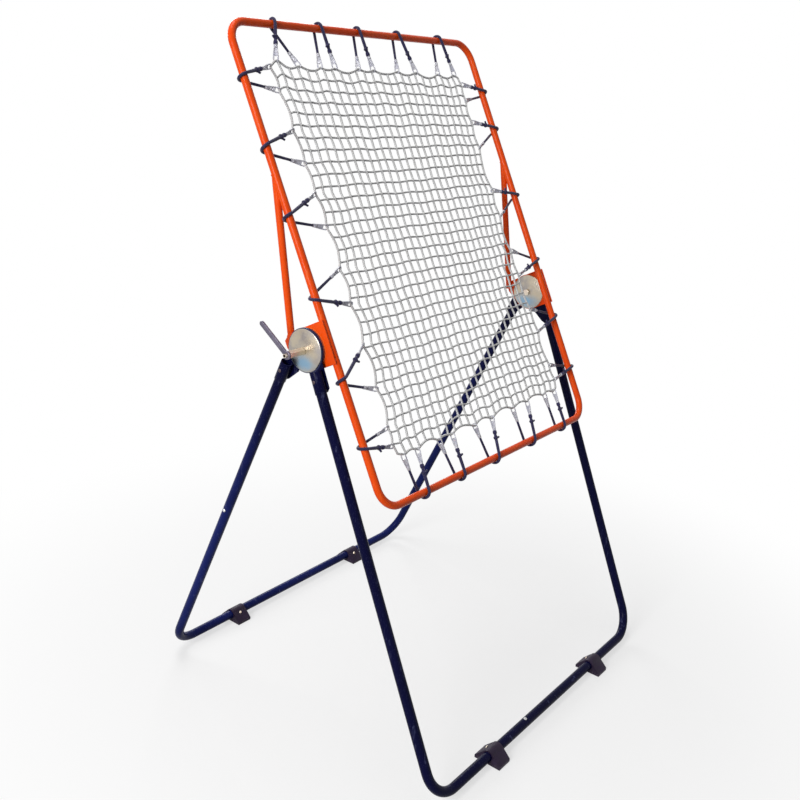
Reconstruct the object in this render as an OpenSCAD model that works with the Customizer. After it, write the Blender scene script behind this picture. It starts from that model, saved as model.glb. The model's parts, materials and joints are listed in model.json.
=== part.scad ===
// Pitch-back rebounder: a sprung net in a tilting tube frame, hung between two folding U-shaped legs.
// Millimetres. The front is -Y and up is +Z. The origin is on the floor under the middle of the pivot axis.

/* [Stand] */
// height of the pivot axis above the floor
pivot_h = 1020; // [850:5:1150]
// lean of each leg from upright, in degrees
leg_angle = 24; // [18:0.5:30]
// outside diameter of the leg tubes
leg_d = 25.4; // [22:0.1:30]
// wall of the leg tubes
leg_wall = 1.6; // [1.2:0.1:2]
// radius of the bend between a post and its rail, on the tube axis
leg_bend_r = 77; // [60:1:110]
// distance down a post from the pivot to the upper end of its tube
post_top = 54; // [54:1:60]
// length of the reduced tube end inside the next tube
spigot_len = 75; // [65:1:100]
// place of the joint in the front rail, along X
front_joint_x = -150; // [-180:1:-120]
// distance down the rear posts from the pivot to their joints
rear_joint_s = 505; // [420:1:600]

/* [Pivot brackets] */
// diameter of the round pivot end of a leg bracket
bracket_d = 106; // [103:0.5:107]
// plate thickness of a leg bracket
bracket_t = 2.5; // [2:0.25:4]
// lower end of a bracket, measured down the post from the pivot
bracket_len = 105; // [95:1:130]
// upper end of the sleeve, measured down the post from the pivot
sleeve_top = 52; // [52:0.5:54]
// wall of the sleeve round the tube
sleeve_t = 1.4; // [1.2:0.1:2]
// place of the rivet, measured down the post from the pivot
rivet_s = 75; // [68:1:85]

/* [Feet] */
// length of a foot along the rail
foot_w = 48; // [40:1:60]
// width of a foot across the rail
foot_l = 76; // [66:1:90]
// rubber under the rail tube
foot_under = 9.3; // [8:0.1:14]
// rubber over the rail tube
foot_over = 4.2; // [3:0.1:6]
// distance of the feet from the middle, along X
foot_x = 268; // [220:1:320]

/* [Net frame] */
// width of the frame, between tube axes
frame_w = 956; // [860:2:1000]
// height of the frame above the pivot, to the tube axis
frame_up = 762; // [740:2:800]
// depth of the frame below the pivot, to the tube axis
frame_down = 407; // [385:2:440]
// tube diameter of the frame
frame_d = 19; // [17:0.1:21]
// wall of the frame tube
frame_wall = 1.4; // [1:0.1:2]
// radius of the frame corners, on the tube axis
frame_corner_r = 55; // [45:1:65]
// distance from the frame tubes back to the pivot axis
frame_offset = 60; // [58:0.5:66]
// lean of the frame from upright as shown, in degrees
frame_tilt = 27.5; // [0:0.5:60]
// diameter of the brace tubes
brace_d = 17.5; // [14:0.1:18]
// height of a brace's upper end above the pivot, along the frame
brace_top = 400; // [380:2:410]
// distance of a brace's lower end behind the pivot axis
brace_behind = 57; // [55:0.5:64]
// height of a brace's lower end above the pivot, along the frame
brace_foot = 30; // [20:1:45]
// wall of the brace tubes
brace_wall = 1.4; // [1:0.1:2]
// thickness of the pivot plates on the frame
plate_t = 3; // [2:0.25:4]
// height of the ear that holds a brace, above the pivot
ear_h = 50; // [40:1:75]
// plate left round a brace at the ear
ear_rim = 9; // [8:0.5:14]
// depth of the lips along a plate's upper and lower edges
lip_w = 8; // [5:0.5:8]

/* [Pivot stack] */
// diameter of the domed and flat discs
disc_d = 102; // [90:0.5:102]
// rise of a domed disc
dome_rise = 8; // [5:0.25:10]
// sheet thickness of the domed discs
dome_t = 1.5; // [1:0.1:2]
// thickness of the flat disc between the two leg brackets
washer_t = 1.25; // [1:0.25:3]
// diameter of the pivot bolts
bolt_d = 9.5; // [8:0.1:11]
// width across the flats of bolt head and coupling nut
hex_af = 17; // [15:0.5:20]
// length of the coupling nut
nut_len = 47; // [40:1:65]
// thickness of the bolt head
bolt_head_t = 6.5; // [5:0.25:8]
// reach of a lever from the pivot axis
lever_len = 105; // [80:1:130]
// width of the lever bar
lever_w = 12; // [10:0.5:16]
// thickness of the lever bar
lever_t = 6; // [4:0.25:8]
// direction of the left lever above the horizontal, to the rear, in degrees
left_lever_angle = 35; // [-90:1:90]
// direction of the right lever above the horizontal, to the rear, in degrees
right_lever_angle = -45; // [-90:1:90]

/* [Snap buttons] */
// diameter of a button
button_d = 9; // [7:0.25:10]
// height of a button above the tube
button_out = 2.8; // [2.2:0.1:3]
// length of a button's spring arm
button_arm = 40; // [30:1:50]
// inward travel of a button
button_travel = 4.5; // [4.5:0.1:5.5]

/* [Net and bungees] */
// thickness of the net cord
net_cord = 3; // [2.4:0.1:3.2]
// diameter of a bungee
bungee_d = 7; // [4:0.1:8]
// distance from the side tubes' axes to the net
side_span = 92; // [85:1:110]
// distance from the top tube's axis to the net
top_span = 100; // [92:1:115]
// distance from the bottom tube's axis to the net
bottom_span = 101; // [92:1:115]
// inward bow of the net's side borders
net_waist = 16; // [0:1:25]
// length of a hook, from net cord to bungee
hook_len = 37; // [33:0.5:42]
// reach of a hook past the net's border
hook_seat = 7; // [6:0.1:9]
// thickness of the hook wire
hook_t = 2.2; // [1.8:0.1:2.3]

/* [Clearances] */
// gap between plates and discs that turn past each other
slip_gap = 0.15; // [0.1:0.05:0.3]
// radial gap between the bolt and what turns on it
bore_gap = 0.3; // [0.2:0.05:0.5]
// radial gap between a leg tube and its sleeve
sleeve_gap = 0.2; // [0.1:0.05:0.3]
// radial gap between a spigot and the tube round it
spigot_gap = 0.2; // [0.1:0.05:0.3]
// radial gap between a foot and its rail
foot_gap = 0.2; // [0.1:0.05:0.3]
// radial gap round a snap button
button_gap = 0.3; // [0.2:0.05:0.5]
// radial gap round rivets and screws
pin_gap = 0.2; // [0.1:0.05:0.3]
// gap between a bungee and the frame tube
wrap_gap = 0.4; // [0.3:0.05:0.6]
// gap between the bungees and the leg brackets that swing past them
sweep_gap = 0.7; // [0.6:0.05:1.2]

/* [Hidden] */
$fn = 48;

// worked-out places are kept to a hundredth of a millimetre, so that pieces that share them meet
function mm(v) = round(v * 100) / 100;

leg_r = leg_d / 2;
sleeve_bore = leg_r + sleeve_gap;
sleeve_r = sleeve_bore + sleeve_t;
weld_sink = 0.6;
weld_gap = 0.05;
bracket_r = bracket_d / 2;

// places along the pivot axis, from the frame outwards
side_x = frame_w / 2;
plate_x0 = side_x + frame_d / 2;
plate_x1 = plate_x0 + plate_t;
spacer_x0 = plate_x1 + slip_gap;
spacer_x1 = plate_x0 + wrap_gap + bungee_d + sweep_gap - slip_gap;
inner_x0 = spacer_x1 + slip_gap;
inner_x1 = inner_x0 + bracket_t;
washer_x0 = inner_x1 + slip_gap;
washer_x1 = washer_x0 + washer_t;
outer_x0 = washer_x1 + slip_gap;
outer_x1 = outer_x0 + bracket_t;
dome_x0 = outer_x1 + slip_gap;
nut_x0 = dome_x0 + dome_rise + slip_gap;
lever_x0 = nut_x0 + nut_len;
bolt_end = lever_x0 + lever_t + 6;
inner_dome_x = plate_x0 - slip_gap;
tube_rise = sleeve_r - weld_sink;
inner_tube_x = inner_x1 + tube_rise;
outer_tube_x = outer_x1 + tube_rise;

// the leg tubes stand outside the swing of the other leg's round bracket end
sleeve_inset = sqrt(bracket_r * bracket_r - sleeve_top * sleeve_top + 1) + 3.4;
leg_offset = mm(sleeve_inset + sleeve_r);
rail_h = leg_r + foot_under;
leg_len = mm((pivot_h - rail_h + leg_offset * sin(leg_angle)) / cos(leg_angle));
leg_bore = leg_r - leg_wall;
spigot_r = leg_bore - spigot_gap;
spigot_bore = spigot_r - leg_wall;
spigot_root = 12;
button_r = button_d / 2;
front_button_x = front_joint_x + spigot_len / 2;
rear_button_s = rear_joint_s + spigot_len / 2;
rivet_r = 2.4;
screw_r = 1.9;
flap_cut = 43;
screw_angle = 15;
screw_seat = leg_r + 6;
plate_r = frame_offset - 7;
inner_r = frame_d / 2 - frame_wall;
bolt_bore = bolt_d / 2 + bore_gap;

// the net in the frame's own plane, from the pivot foot
net_side = side_x - side_span;
net_top = frame_up - top_span;
net_bottom = bottom_span - frame_down;
net_cols = 12;
net_col_edge = 11;
net_col_step = 2 * (net_side - net_col_edge) / net_cols;
net_rows = 14;
net_low_edge = 66;
net_high_edge = 70;
net_row_first = net_bottom + net_low_edge;
net_row_step = (net_top - net_high_edge - net_row_first) / (net_rows - 1);
scallop = 0.16;
wrap_steps = 9;
cord_sides = 6;

// the places of the bungees are chosen on a frame of this size, and spread with it
set_w = 956;
set_up = 762;
set_down = 407;
function across(x) = x * frame_w / set_w;
function along(u) = u * (u > 0 ? frame_up / set_up : frame_down / set_down);

// each bungee: front tube place, front hook place, back tube place, back hook place
top_places = [
  [-335, -358, -326, -287],
  [-174, -156, -176, -211],
  [-28, -9, -26, -66],
  [138, 178, 138, 95],
  [332, 357, 324, 280]
];
bottom_places = [
  [-322, -303, -332, -358],
  [-170, -156, -178, -213],
  [-10, 27, -22, -56],
  [175, 210, 158, 133],
  [343, 361, 332, 306]
];
left_places = [
  [633, 676, 624, 600],
  [469, 500, 454, 419],
  [304, 345, 292, 263],
  [95, 74, 112, 161],
  [-87, -27, -98, -135],
  [-258, -275, -247, -230]
];
right_places = [
  [611, 633, 602, 584],
  [496, 518, 484, 440],
  [288, 310, 278, 230],
  [81, 50, 97, 125],
  [-98, -125, -80, -55],
  [-258, -275, -248, -230]
];

top_set = [for (b = top_places) [for (x = b) across(x)]];
bottom_set = [for (b = bottom_places) [for (x = b) across(x)]];
left_set = [for (b = left_places) [for (u = b) along(u)]];
right_set = [for (b = right_places) [for (u = b) along(u)]];

function unit(v) = v / norm(v);
function sorted(v) = len(v) < 2 ? v : let (p = v[0]) concat(
  sorted([for (k = [1:len(v) - 1]) if (v[k] < p) v[k]]),
  [p],
  sorted([for (k = [1:len(v) - 1]) if (v[k] >= p) v[k]]));
function hooks_of(set) = sorted([for (b = set) each [b[1], b[3]]]);
function mid_height() = (net_top + net_bottom) / 2;
// half width of the net at height u: the borders bow in towards the middle
function waist_x(u) = let (t = (u - mid_height()) / (net_top - net_bottom) * 2)
  net_side - net_waist * max(0, 1 - t * t);
function reversed(v) = [for (k = [len(v) - 1:-1:0]) v[k]];
// border points of one side, with a valley between neighbouring hooks; dir points inwards
function scallops(p, dir) = [for (k = [0:len(p) - 1]) each k == len(p) - 1 ? [p[k]] :
  [p[k], (p[k] + p[k + 1]) / 2 + dir * scallop * norm(p[k + 1] - p[k])]];
border = concat(
  scallops([for (u = hooks_of(left_set)) [-waist_x(u), u]], [1, 0]),
  scallops([for (x = hooks_of(top_set)) [x, net_top]], [0, -1]),
  scallops([for (u = reversed(hooks_of(right_set))) [waist_x(u), u]], [-1, 0]),
  scallops([for (x = reversed(hooks_of(bottom_set))) [x, net_bottom]], [0, 1]));
// the border moved outwards by d; the points run clockwise
function moved(p, d) = [for (k = [0:len(p) - 1])
  let (
    n = len(p),
    a = unit(p[k] - p[(k + n - 1) % n]),
    b = unit(p[(k + 1) % n] - p[k]),
    m = unit([-a[1] - b[1], a[0] + b[0]]),
    c = m * [-a[1], a[0]]
  ) p[k] + m * d / c];

// placing

// front leg: local -Z runs down the leg and local -Y is its outer side
module front_leg() {
  translate([0, 0, pivot_h]) rotate([-leg_angle, 0, 0]) children();
}

// rear leg: the front leg turned half round
module rear_leg() {
  rotate([0, 0, 180]) front_leg() children();
}

// net frame: local z runs up the frame from the pivot foot, local y is behind the net
module tilted() {
  translate([0, 0, pivot_h]) rotate([-frame_tilt, 0, 0]) translate([0, -frame_offset, 0]) children();
}

// side 1 is +X, side -1 its mirror image
module on_side(side) {
  if (side > 0) children();
  else mirror([1, 0, 0]) children();
}

// a cylinder along X from x0 to x1
module bar_x(x0, x1, r) {
  translate([x0, 0, 0]) rotate([0, 90, 0]) cylinder(h = x1 - x0, r = r);
}

// a flat shape drawn in Y and Z, filled from x0 to x1
module slab_x(x0, x1) {
  translate([x0, 0, 0]) rotate([90, 0, 90]) linear_extrude(height = x1 - x0) children();
}

module at_pivot() {
  translate([0, 0, pivot_h]) children();
}

// legs

// a post from s0 down to s1 at x, drawn in the leg's own frame
module post(x, s0, s1, r) {
  translate([x, -leg_offset, -s1]) cylinder(h = s1 - s0, r = r);
}

// the rail between two places
module rail(x0, x1, r) {
  translate([0, -leg_offset, -leg_len]) bar_x(x0, x1, r);
}

// one bent tube of a leg, drawn about the centre of its bend: a post from s0 down, the quarter bend and the
// rail as far as x1; way is -1 on the -X side and 1 on the +X side
module bent_tube(way, tube_x, s0, x1, r) {
  bend_x = way * (tube_x - leg_bend_r);
  translate([bend_x, -leg_offset, leg_bend_r - leg_len]) {
    translate([way * leg_bend_r, 0, 0]) cylinder(h = leg_len - leg_bend_r - s0, r = r);
    rotate([90, 0, 0])
      rotate([0, 0, 225 + way * 45])
        rotate_extrude(angle = 90) translate([leg_bend_r, 0]) circle(r = r);
    translate([0, 0, -leg_bend_r]) bar_x(min(0, x1 - bend_x), max(0, x1 - bend_x), r);
  }
}

module minus_side(s0, x1, r) {
  bent_tube(-1, outer_tube_x, s0, x1, r);
}

module plus_side(s0, x1, r) {
  bent_tube(1, inner_tube_x, s0, x1, r);
}

// holes for a foot's screw and a bracket's rivet
module foot_screw_hole(x) {
  translate([x, -leg_offset, -leg_len])
    rotate([leg_angle + screw_angle - 90, 0, 0]) cylinder(h = leg_r + 2, r = screw_r + pin_gap);
}

module rivet_hole(x, side) {
  translate([x, -leg_offset, -rivet_s])
    rotate([0, side * 90, 0]) cylinder(h = sleeve_r + 2, r = rivet_r + pin_gap);
}

module rail_button_hole(r) {
  translate([front_button_x, -leg_offset, -leg_len])
    rotate([leg_angle, 0, 0]) cylinder(h = leg_r + 2, r = r);
}

module post_button_hole(x, side, r) {
  translate([x, -leg_offset, -rear_button_s]) rotate([0, side * 90, 0]) cylinder(h = leg_r + 2, r = r);
}

module front_left_tube() {
  color([0.06, 0.06, 0.2]) front_leg() difference() {
    union() {
      minus_side(post_top, front_joint_x, leg_r);
      rail(front_joint_x - 1, front_joint_x + spigot_len, spigot_r);
    }
    union() {
      minus_side(post_top - 1, front_joint_x - spigot_root, leg_bore);
      rail(front_joint_x - spigot_root - 1, front_joint_x + spigot_len + 1, spigot_bore);
    }
    rail_button_hole(button_r + button_gap);
    foot_screw_hole(-foot_x);
    rivet_hole(-outer_tube_x, -1);
  }
}

module front_right_tube() {
  color([0.06, 0.06, 0.2]) front_leg() difference() {
    union() plus_side(post_top, front_joint_x + slip_gap, leg_r);
    union() plus_side(post_top - 1, front_joint_x - 1, leg_bore);
    rail_button_hole(button_r + button_gap);
    foot_screw_hole(foot_x);
    rivet_hole(inner_tube_x, 1);
  }
}

// both bent tubes of the rear leg, joined in the middle of the rail
module rear_bends(s0, r) {
  minus_side(s0, 0, r);
  plus_side(s0, 0, r);
}

module rear_lower_tube() {
  color([0.06, 0.06, 0.2]) rear_leg() difference() {
    union() rear_bends(rear_joint_s + slip_gap, leg_r);
    union() rear_bends(rear_joint_s - 1, leg_bore);
    post_button_hole(-outer_tube_x, -1, button_r + button_gap);
    post_button_hole(inner_tube_x, 1, button_r + button_gap);
    foot_screw_hole(-foot_x);
    foot_screw_hole(foot_x);
  }
}

// an upper rear post with its reduced lower end; x and side in the leg's own frame
module upper_post(x, side) {
  difference() {
    union() {
      post(x, post_top, rear_joint_s, leg_r);
      post(x, rear_joint_s - 1, rear_joint_s + spigot_len, spigot_r);
    }
    post(x, post_top - 1, rear_joint_s - spigot_root, leg_bore);
    post(x, rear_joint_s - spigot_root - 1, rear_joint_s + spigot_len + 1, spigot_bore);
    post_button_hole(x, side, button_r + button_gap);
    rivet_hole(x, side);
  }
}

module rear_left_upper_tube() {
  color([0.06, 0.06, 0.2]) rear_leg() upper_post(inner_tube_x, 1);
}

module rear_right_upper_tube() {
  color([0.06, 0.06, 0.2]) rear_leg() upper_post(-outer_tube_x, -1);
}

// a bracket on the +X side: a plate with a round pivot end and a sleeve for the post
module bracket(x0, x1, tube_x) {
  difference() {
    union() {
      bar_x(x0, x1, bracket_r);
      slab_x(x0, x1) polygon([
        [2, 0], [2, flap_cut - bracket_len],
        [leg_r - leg_offset, 8 - bracket_len], [leg_r - leg_offset - 8, -bracket_len],
        [8 - leg_offset - sleeve_r, -bracket_len], [-leg_offset - sleeve_r, 8 - bracket_len],
        [-leg_offset - sleeve_r, 0]
      ]);
      post(tube_x, sleeve_top, bracket_len, sleeve_r);
    }
    post(tube_x, sleeve_top - 1, bracket_len + 1, sleeve_bore);
    bar_x(x0 - 1, x1 + 1, bolt_bore);
    rivet_hole(tube_x, 1);
  }
}

module front_left_bracket() {
  color([0.07, 0.07, 0.24]) front_leg() on_side(-1) bracket(outer_x0, outer_x1, outer_tube_x);
}

module front_right_bracket() {
  color([0.07, 0.07, 0.24]) front_leg() bracket(inner_x0, inner_x1, inner_tube_x);
}

module rear_left_bracket() {
  color([0.07, 0.07, 0.24]) rear_leg() bracket(inner_x0, inner_x1, inner_tube_x);
}

module rear_right_bracket() {
  color([0.07, 0.07, 0.24]) rear_leg() on_side(-1) bracket(outer_x0, outer_x1, outer_tube_x);
}

// a rivet through sleeve and tube wall on the +X side
module rivet(tube_x) {
  translate([tube_x, -leg_offset, -rivet_s]) rotate([0, 90, 0]) {
    translate([0, 0, leg_bore - 1])
      cylinder(h = sleeve_r + 0.2 - leg_bore + 1, r = rivet_r);
    translate([0, 0, sleeve_r + 0.1]) cylinder(h = 1.8, r1 = 5, r2 = 3.6);
  }
}

module leg_rivets() {
  on_side(-1) rivet(outer_tube_x);
  rivet(inner_tube_x);
}

module front_bracket_rivets() {
  color([0.42, 0.33, 0.26]) front_leg() leg_rivets();
}

module rear_bracket_rivets() {
  color([0.42, 0.33, 0.26]) rear_leg() leg_rivets();
}

// a rubber foot round the front rail, at x; its screw sits in a flat seat on the inner slope
module foot(x) {
  front_leg() translate([x, -leg_offset, -leg_len]) rotate([leg_angle, 0, 0]) difference() {
    union() {
      bar_x(-foot_w / 2, foot_w / 2, leg_r + foot_over);
      slab_x(-foot_w / 2, foot_w / 2) polygon([
        [-foot_l / 2, -rail_h], [foot_l / 2, -rail_h], [foot_l / 2, 8 - rail_h],
        [leg_r + foot_over - 1, 8], [-leg_r - foot_over + 1, 8], [-foot_l / 2, 8 - rail_h]
      ]);
    }
    bar_x(-foot_w, foot_w, leg_r + foot_gap);
    rotate([screw_angle - 90, 0, 0]) cylinder(h = foot_l, r = screw_r + pin_gap);
    rotate([screw_angle - 90, 0, 0]) translate([0, 0, screw_seat]) cylinder(h = foot_l, r = 5.2);
  }
}

module foot_screw(x) {
  front_leg() translate([x, -leg_offset, -leg_len]) rotate([leg_angle + screw_angle - 90, 0, 0]) {
    translate([0, 0, leg_bore - 2])
      cylinder(h = screw_seat + 0.5 - leg_bore + 2, r = screw_r);
    translate([0, 0, screw_seat]) cylinder(h = 2.4, r1 = 4.6, r2 = 3.4);
  }
}

module front_left_foot() {
  color([0.13, 0.1, 0.11]) foot(-foot_x);
}

module front_right_foot() {
  color([0.13, 0.1, 0.11]) foot(foot_x);
}

module rear_left_foot() {
  color([0.13, 0.1, 0.11]) rotate([0, 0, 180]) foot(foot_x);
}

module rear_right_foot() {
  color([0.13, 0.1, 0.11]) rotate([0, 0, 180]) foot(-foot_x);
}

module front_foot_screws() {
  color([0.72, 0.6, 0.36]) {
    foot_screw(-foot_x);
    foot_screw(foot_x);
  }
}

module rear_foot_screws() {
  color([0.72, 0.6, 0.36]) rotate([0, 0, 180]) {
    foot_screw(-foot_x);
    foot_screw(foot_x);
  }
}

// a snap button on its spring arm, standing out along +Z from the tube axis
module button() {
  arm = button_travel + 1;
  tip = leg_r + button_out;
  edge = 1.2;
  translate([0, 0, arm]) cylinder(h = tip - edge - arm, r = button_r);
  translate([0, 0, tip - edge]) cylinder(h = edge, r1 = button_r, r2 = button_r - edge);
  translate([-button_r, -button_r + 1, arm]) cube([button_arm, button_d - 2, 0.8]);
}

module front_rail_button() {
  color([0.75, 0.76, 0.78]) front_leg()
    translate([front_button_x, -leg_offset, -leg_len]) rotate([leg_angle, 0, 0]) button();
}

module rear_left_button() {
  color([0.75, 0.76, 0.78]) rear_leg()
    translate([inner_tube_x, -leg_offset, -rear_button_s]) rotate([0, 90, 0]) button();
}

module rear_right_button() {
  color([0.75, 0.76, 0.78]) rear_leg()
    translate([-outer_tube_x, -leg_offset, -rear_button_s]) mirror([1, 0, 0]) rotate([0, 90, 0]) button();
}

// pivots

// a bolt on the +X side, head inside
module pivot_bolt() {
  at_pivot() {
    translate([inner_dome_x - dome_rise - bolt_head_t, 0, 0])
      rotate([0, 90, 0]) cylinder(h = bolt_head_t, d = hex_af / cos(30), $fn = 6);
    bar_x(inner_dome_x - dome_rise - 1, bolt_end, bolt_d / 2);
  }
}

module left_pivot_bolt() {
  color([0.72, 0.62, 0.36]) on_side(-1) pivot_bolt();
}

module right_pivot_bolt() {
  color([0.72, 0.62, 0.36]) pivot_bolt();
}

// a domed disc, standing on its rim with the dome along +Z
module dome() {
  rise = dome_rise - dome_t;
  steps = [1, 0.92, 0.8, 0.65, 0.48, 0.3, 0.18];
  rotate_extrude() polygon(concat(
    [for (k = steps) [k * disc_d / 2, dome_t + rise * (1 - k * k)]],
    [[bolt_bore, dome_rise], [bolt_bore, rise]],
    [for (k = reversed(steps)) [k * disc_d / 2, rise * (1 - k * k)]]));
}

module outer_disc() {
  at_pivot() translate([dome_x0, 0, 0]) rotate([0, 90, 0]) dome();
}

module inner_disc() {
  at_pivot() translate([inner_dome_x, 0, 0]) rotate([0, -90, 0]) dome();
}

module left_outer_disc() {
  color([0.68, 0.67, 0.66]) on_side(-1) outer_disc();
}

module right_outer_disc() {
  color([0.68, 0.67, 0.66]) outer_disc();
}

module left_inner_disc() {
  color([0.68, 0.67, 0.66]) on_side(-1) inner_disc();
}

module right_inner_disc() {
  color([0.68, 0.67, 0.66]) inner_disc();
}

module friction_discs() {
  at_pivot() {
    difference() {
      bar_x(spacer_x0, spacer_x1, disc_d / 2);
      bar_x(spacer_x0 - 1, spacer_x1 + 1, bolt_bore);
    }
    difference() {
      bar_x(washer_x0, washer_x1, disc_d / 2);
      bar_x(washer_x0 - 1, washer_x1 + 1, bolt_bore);
    }
  }
}

module left_friction_discs() {
  color([0.7, 0.7, 0.7]) on_side(-1) friction_discs();
}

module right_friction_discs() {
  color([0.7, 0.7, 0.7]) friction_discs();
}

module clamp_nut() {
  at_pivot() difference() {
    translate([nut_x0, 0, 0]) rotate([0, 90, 0]) cylinder(h = nut_len, d = hex_af / cos(30), $fn = 6);
    bar_x(nut_x0 - 1, lever_x0 + 1, bolt_bore);
  }
}

module left_clamp_nut() {
  color([0.72, 0.62, 0.36]) on_side(-1) clamp_nut();
}

module right_clamp_nut() {
  color([0.72, 0.62, 0.36]) clamp_nut();
}

module lever(angle) {
  at_pivot() rotate([angle, 0, 0]) difference() {
    union() {
      bar_x(lever_x0, lever_x0 + lever_t, lever_w / 2 + 4);
      slab_x(lever_x0, lever_x0 + lever_t)
        polygon([[0, -lever_w / 2], [lever_len - lever_w / 2, -lever_w / 2],
          [lever_len - lever_w / 2, lever_w / 2], [0, lever_w / 2]]);
      translate([0, lever_len - lever_w / 2, 0]) bar_x(lever_x0, lever_x0 + lever_t, lever_w / 2);
    }
    bar_x(lever_x0 - 1, lever_x0 + lever_t + 1, bolt_bore);
  }
}

module left_lever() {
  color([0.45, 0.46, 0.48]) on_side(-1) lever(left_lever_angle);
}

module right_lever() {
  color([0.45, 0.46, 0.48]) lever(right_lever_angle);
}

// net frame

module frame_corner(x, z, turn, r) {
  translate([x, 0, z]) rotate([90, 0, 0]) rotate([0, 0, turn])
    rotate_extrude(angle = 90) translate([frame_corner_r, 0]) circle(r = r);
}

module frame_loop(r) {
  x = side_x - frame_corner_r;
  z0 = frame_corner_r - frame_down;
  z1 = frame_up - frame_corner_r;
  for (s = [-1, 1]) translate([s * side_x, 0, z0]) cylinder(h = z1 - z0, r = r);
  translate([0, 0, frame_up]) bar_x(-x, x, r);
  translate([0, 0, -frame_down]) bar_x(-x, x, r);
  frame_corner(x, z1, 0, r);
  frame_corner(-x, z1, 90, r);
  frame_corner(-x, z0, 180, r);
  frame_corner(x, z0, 270, r);
}

module frame_tube() {
  color([0.93, 0.33, 0.11]) tilted() difference() {
    union() frame_loop(frame_d / 2);
    union() frame_loop(inner_r);
  }
}

// the brace runs from the side tube, past the discs, to the rear ear of the pivot plate
brace_x = plate_x0 - brace_d / 2;
brace_back = frame_offset + brace_behind;
brace_run = norm([brace_back, brace_top - brace_foot]);
brace_lean = atan2(brace_back, brace_top - brace_foot);

module brace() {
  tilted() difference() {
    translate([brace_x, brace_back, brace_foot])
      rotate([brace_lean, 0, 0]) cylinder(h = brace_run, r = brace_d / 2);
    translate([brace_x, brace_back, brace_foot]) rotate([brace_lean, 0, 0]) translate([0, 0, -1])
      cylinder(h = brace_run + 1, r = brace_d / 2 - brace_wall);
    translate([side_x, 0, brace_top - 4 * frame_d])
      cylinder(h = 8 * frame_d, r = frame_d / 2 + weld_gap);
  }
}

module left_brace() {
  color([0.93, 0.33, 0.11]) on_side(-1) brace();
}

module right_brace() {
  color([0.93, 0.33, 0.11]) brace();
}

// the pivot plate: a round end about the pivot, a straight part to the side tube and an ear for the brace
module pivot_plate() {
  ear = brace_back + ear_rim;
  edge = plate_r - 1;
  lip_len = frame_offset - plate_r / 2 - frame_d / 2;
  tilted() difference() {
    union() {
      translate([0, frame_offset, 0]) bar_x(plate_x0, plate_x1, plate_r);
      slab_x(plate_x0, plate_x1) polygon([
        [-frame_d / 2, -edge], [frame_offset, -edge],
        [ear - 2 * ear_rim, -2 * ear_rim], [ear, brace_foot - ear_rim], [ear, brace_foot + ear_rim],
        [ear - 2 * ear_rim, ear_h], [ear - 4 * ear_rim, ear_h], [frame_offset, edge], [-frame_d / 2, edge]
      ]);
      for (z = [-edge, edge - plate_t])
        translate([plate_x0 - lip_w, frame_d / 2 + 2, z]) cube([lip_w + 1, lip_len, plate_t]);
    }
    translate([0, frame_offset, 0]) bar_x(plate_x0 - 1, plate_x1 + 1, bolt_bore);
  }
}

module left_pivot_plate() {
  color([0.93, 0.33, 0.11]) on_side(-1) pivot_plate();
}

module right_pivot_plate() {
  color([0.93, 0.33, 0.11]) pivot_plate();
}

// net and bungees

module net() {
  color([0.86, 0.86, 0.86]) tilted() rotate([90, 0, 0])
    linear_extrude(height = net_cord, center = true) union() {
      difference() {
        polygon(moved(border, net_cord / 2));
        polygon(moved(border, -net_cord / 2));
      }
      intersection() {
        polygon(border);
        union() {
          for (k = [1:net_cols - 1])
            translate([(k - net_cols / 2) * net_col_step - net_cord / 2, net_bottom])
              square([net_cord, net_top - net_bottom]);
          for (k = [0:net_rows - 1])
            translate([-net_side, net_row_first + k * net_row_step - net_cord / 2])
              square([2 * net_side, net_cord]);
        }
      }
    }
}

// one strand in its own frame: x from the net cord out to the tube, y behind the net, z along the tube.
// reach is the distance from net cord to tube axis, back is -1 for the front strand and 1 for the back one
wrap_r = frame_d / 2 + wrap_gap + bungee_d / 2;
function pull(reach) = asin(wrap_r / reach);
function tangent(reach, back, place) =
  [reach - wrap_r * sin(pull(reach)), back * wrap_r * cos(pull(reach)), place];
function strand(reach, back, hook, place) = unit(tangent(reach, back, place) - [0, 0, hook]);
function hook_end(reach, back, hook, place) =
  [0, 0, hook] + strand(reach, back, hook, place) * hook_len;

// the route of one bungee, about the tube's axis: front hook, over the tube, back hook
function route(front, back, b) =
  let (
    t0 = -90 - pull(front),
    t1 = 90 + pull(back),
    step = (t1 - t0) / wrap_steps
  ) concat(
    [hook_end(front, -1, b[1], b[0]) - [front, 0, 0]],
    [for (k = [0:wrap_steps])
      let (t = t0 + k * step, r = wrap_r / (k == 0 || k == wrap_steps ? 1 : cos(step / 2)))
      [r * cos(t), r * sin(t), b[0] + (b[2] - b[0]) * k / wrap_steps]],
    [hook_end(back, 1, b[3], b[2]) - [back, 0, 0]]);

// a cord of round section along points that run round the Z direction
module cord(p, r) {
  n = len(p);
  m = cord_sides;
  ring = [for (i = [0:n - 1])
    let (
      a = unit(p[min(i + 1, n - 1)] - p[min(i, n - 2)]),
      b = unit(p[max(i, 1)] - p[max(i - 1, 0)]),
      t = unit(a + b),
      u = unit([0, 0, 1] - t * t[2]),
      v = cross(t, u)
    ) each [for (j = [0:m - 1]) p[i] + r * (cos(j * 360 / m) * u + sin(j * 360 / m) * v)]];
  polyhedron(ring, concat(
    [[for (j = [0:m - 1]) j]],
    [for (i = [0:n - 2], j = [0:m - 1]) [i * m + j, (i + 1) * m + j, (i + 1) * m + (j + 1) % m]],
    [for (i = [0:n - 2], j = [0:m - 1]) [i * m + j, (i + 1) * m + (j + 1) % m, i * m + (j + 1) % m]],
    [[for (j = [m - 1:-1:0]) (n - 1) * m + j]]));
}

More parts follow.
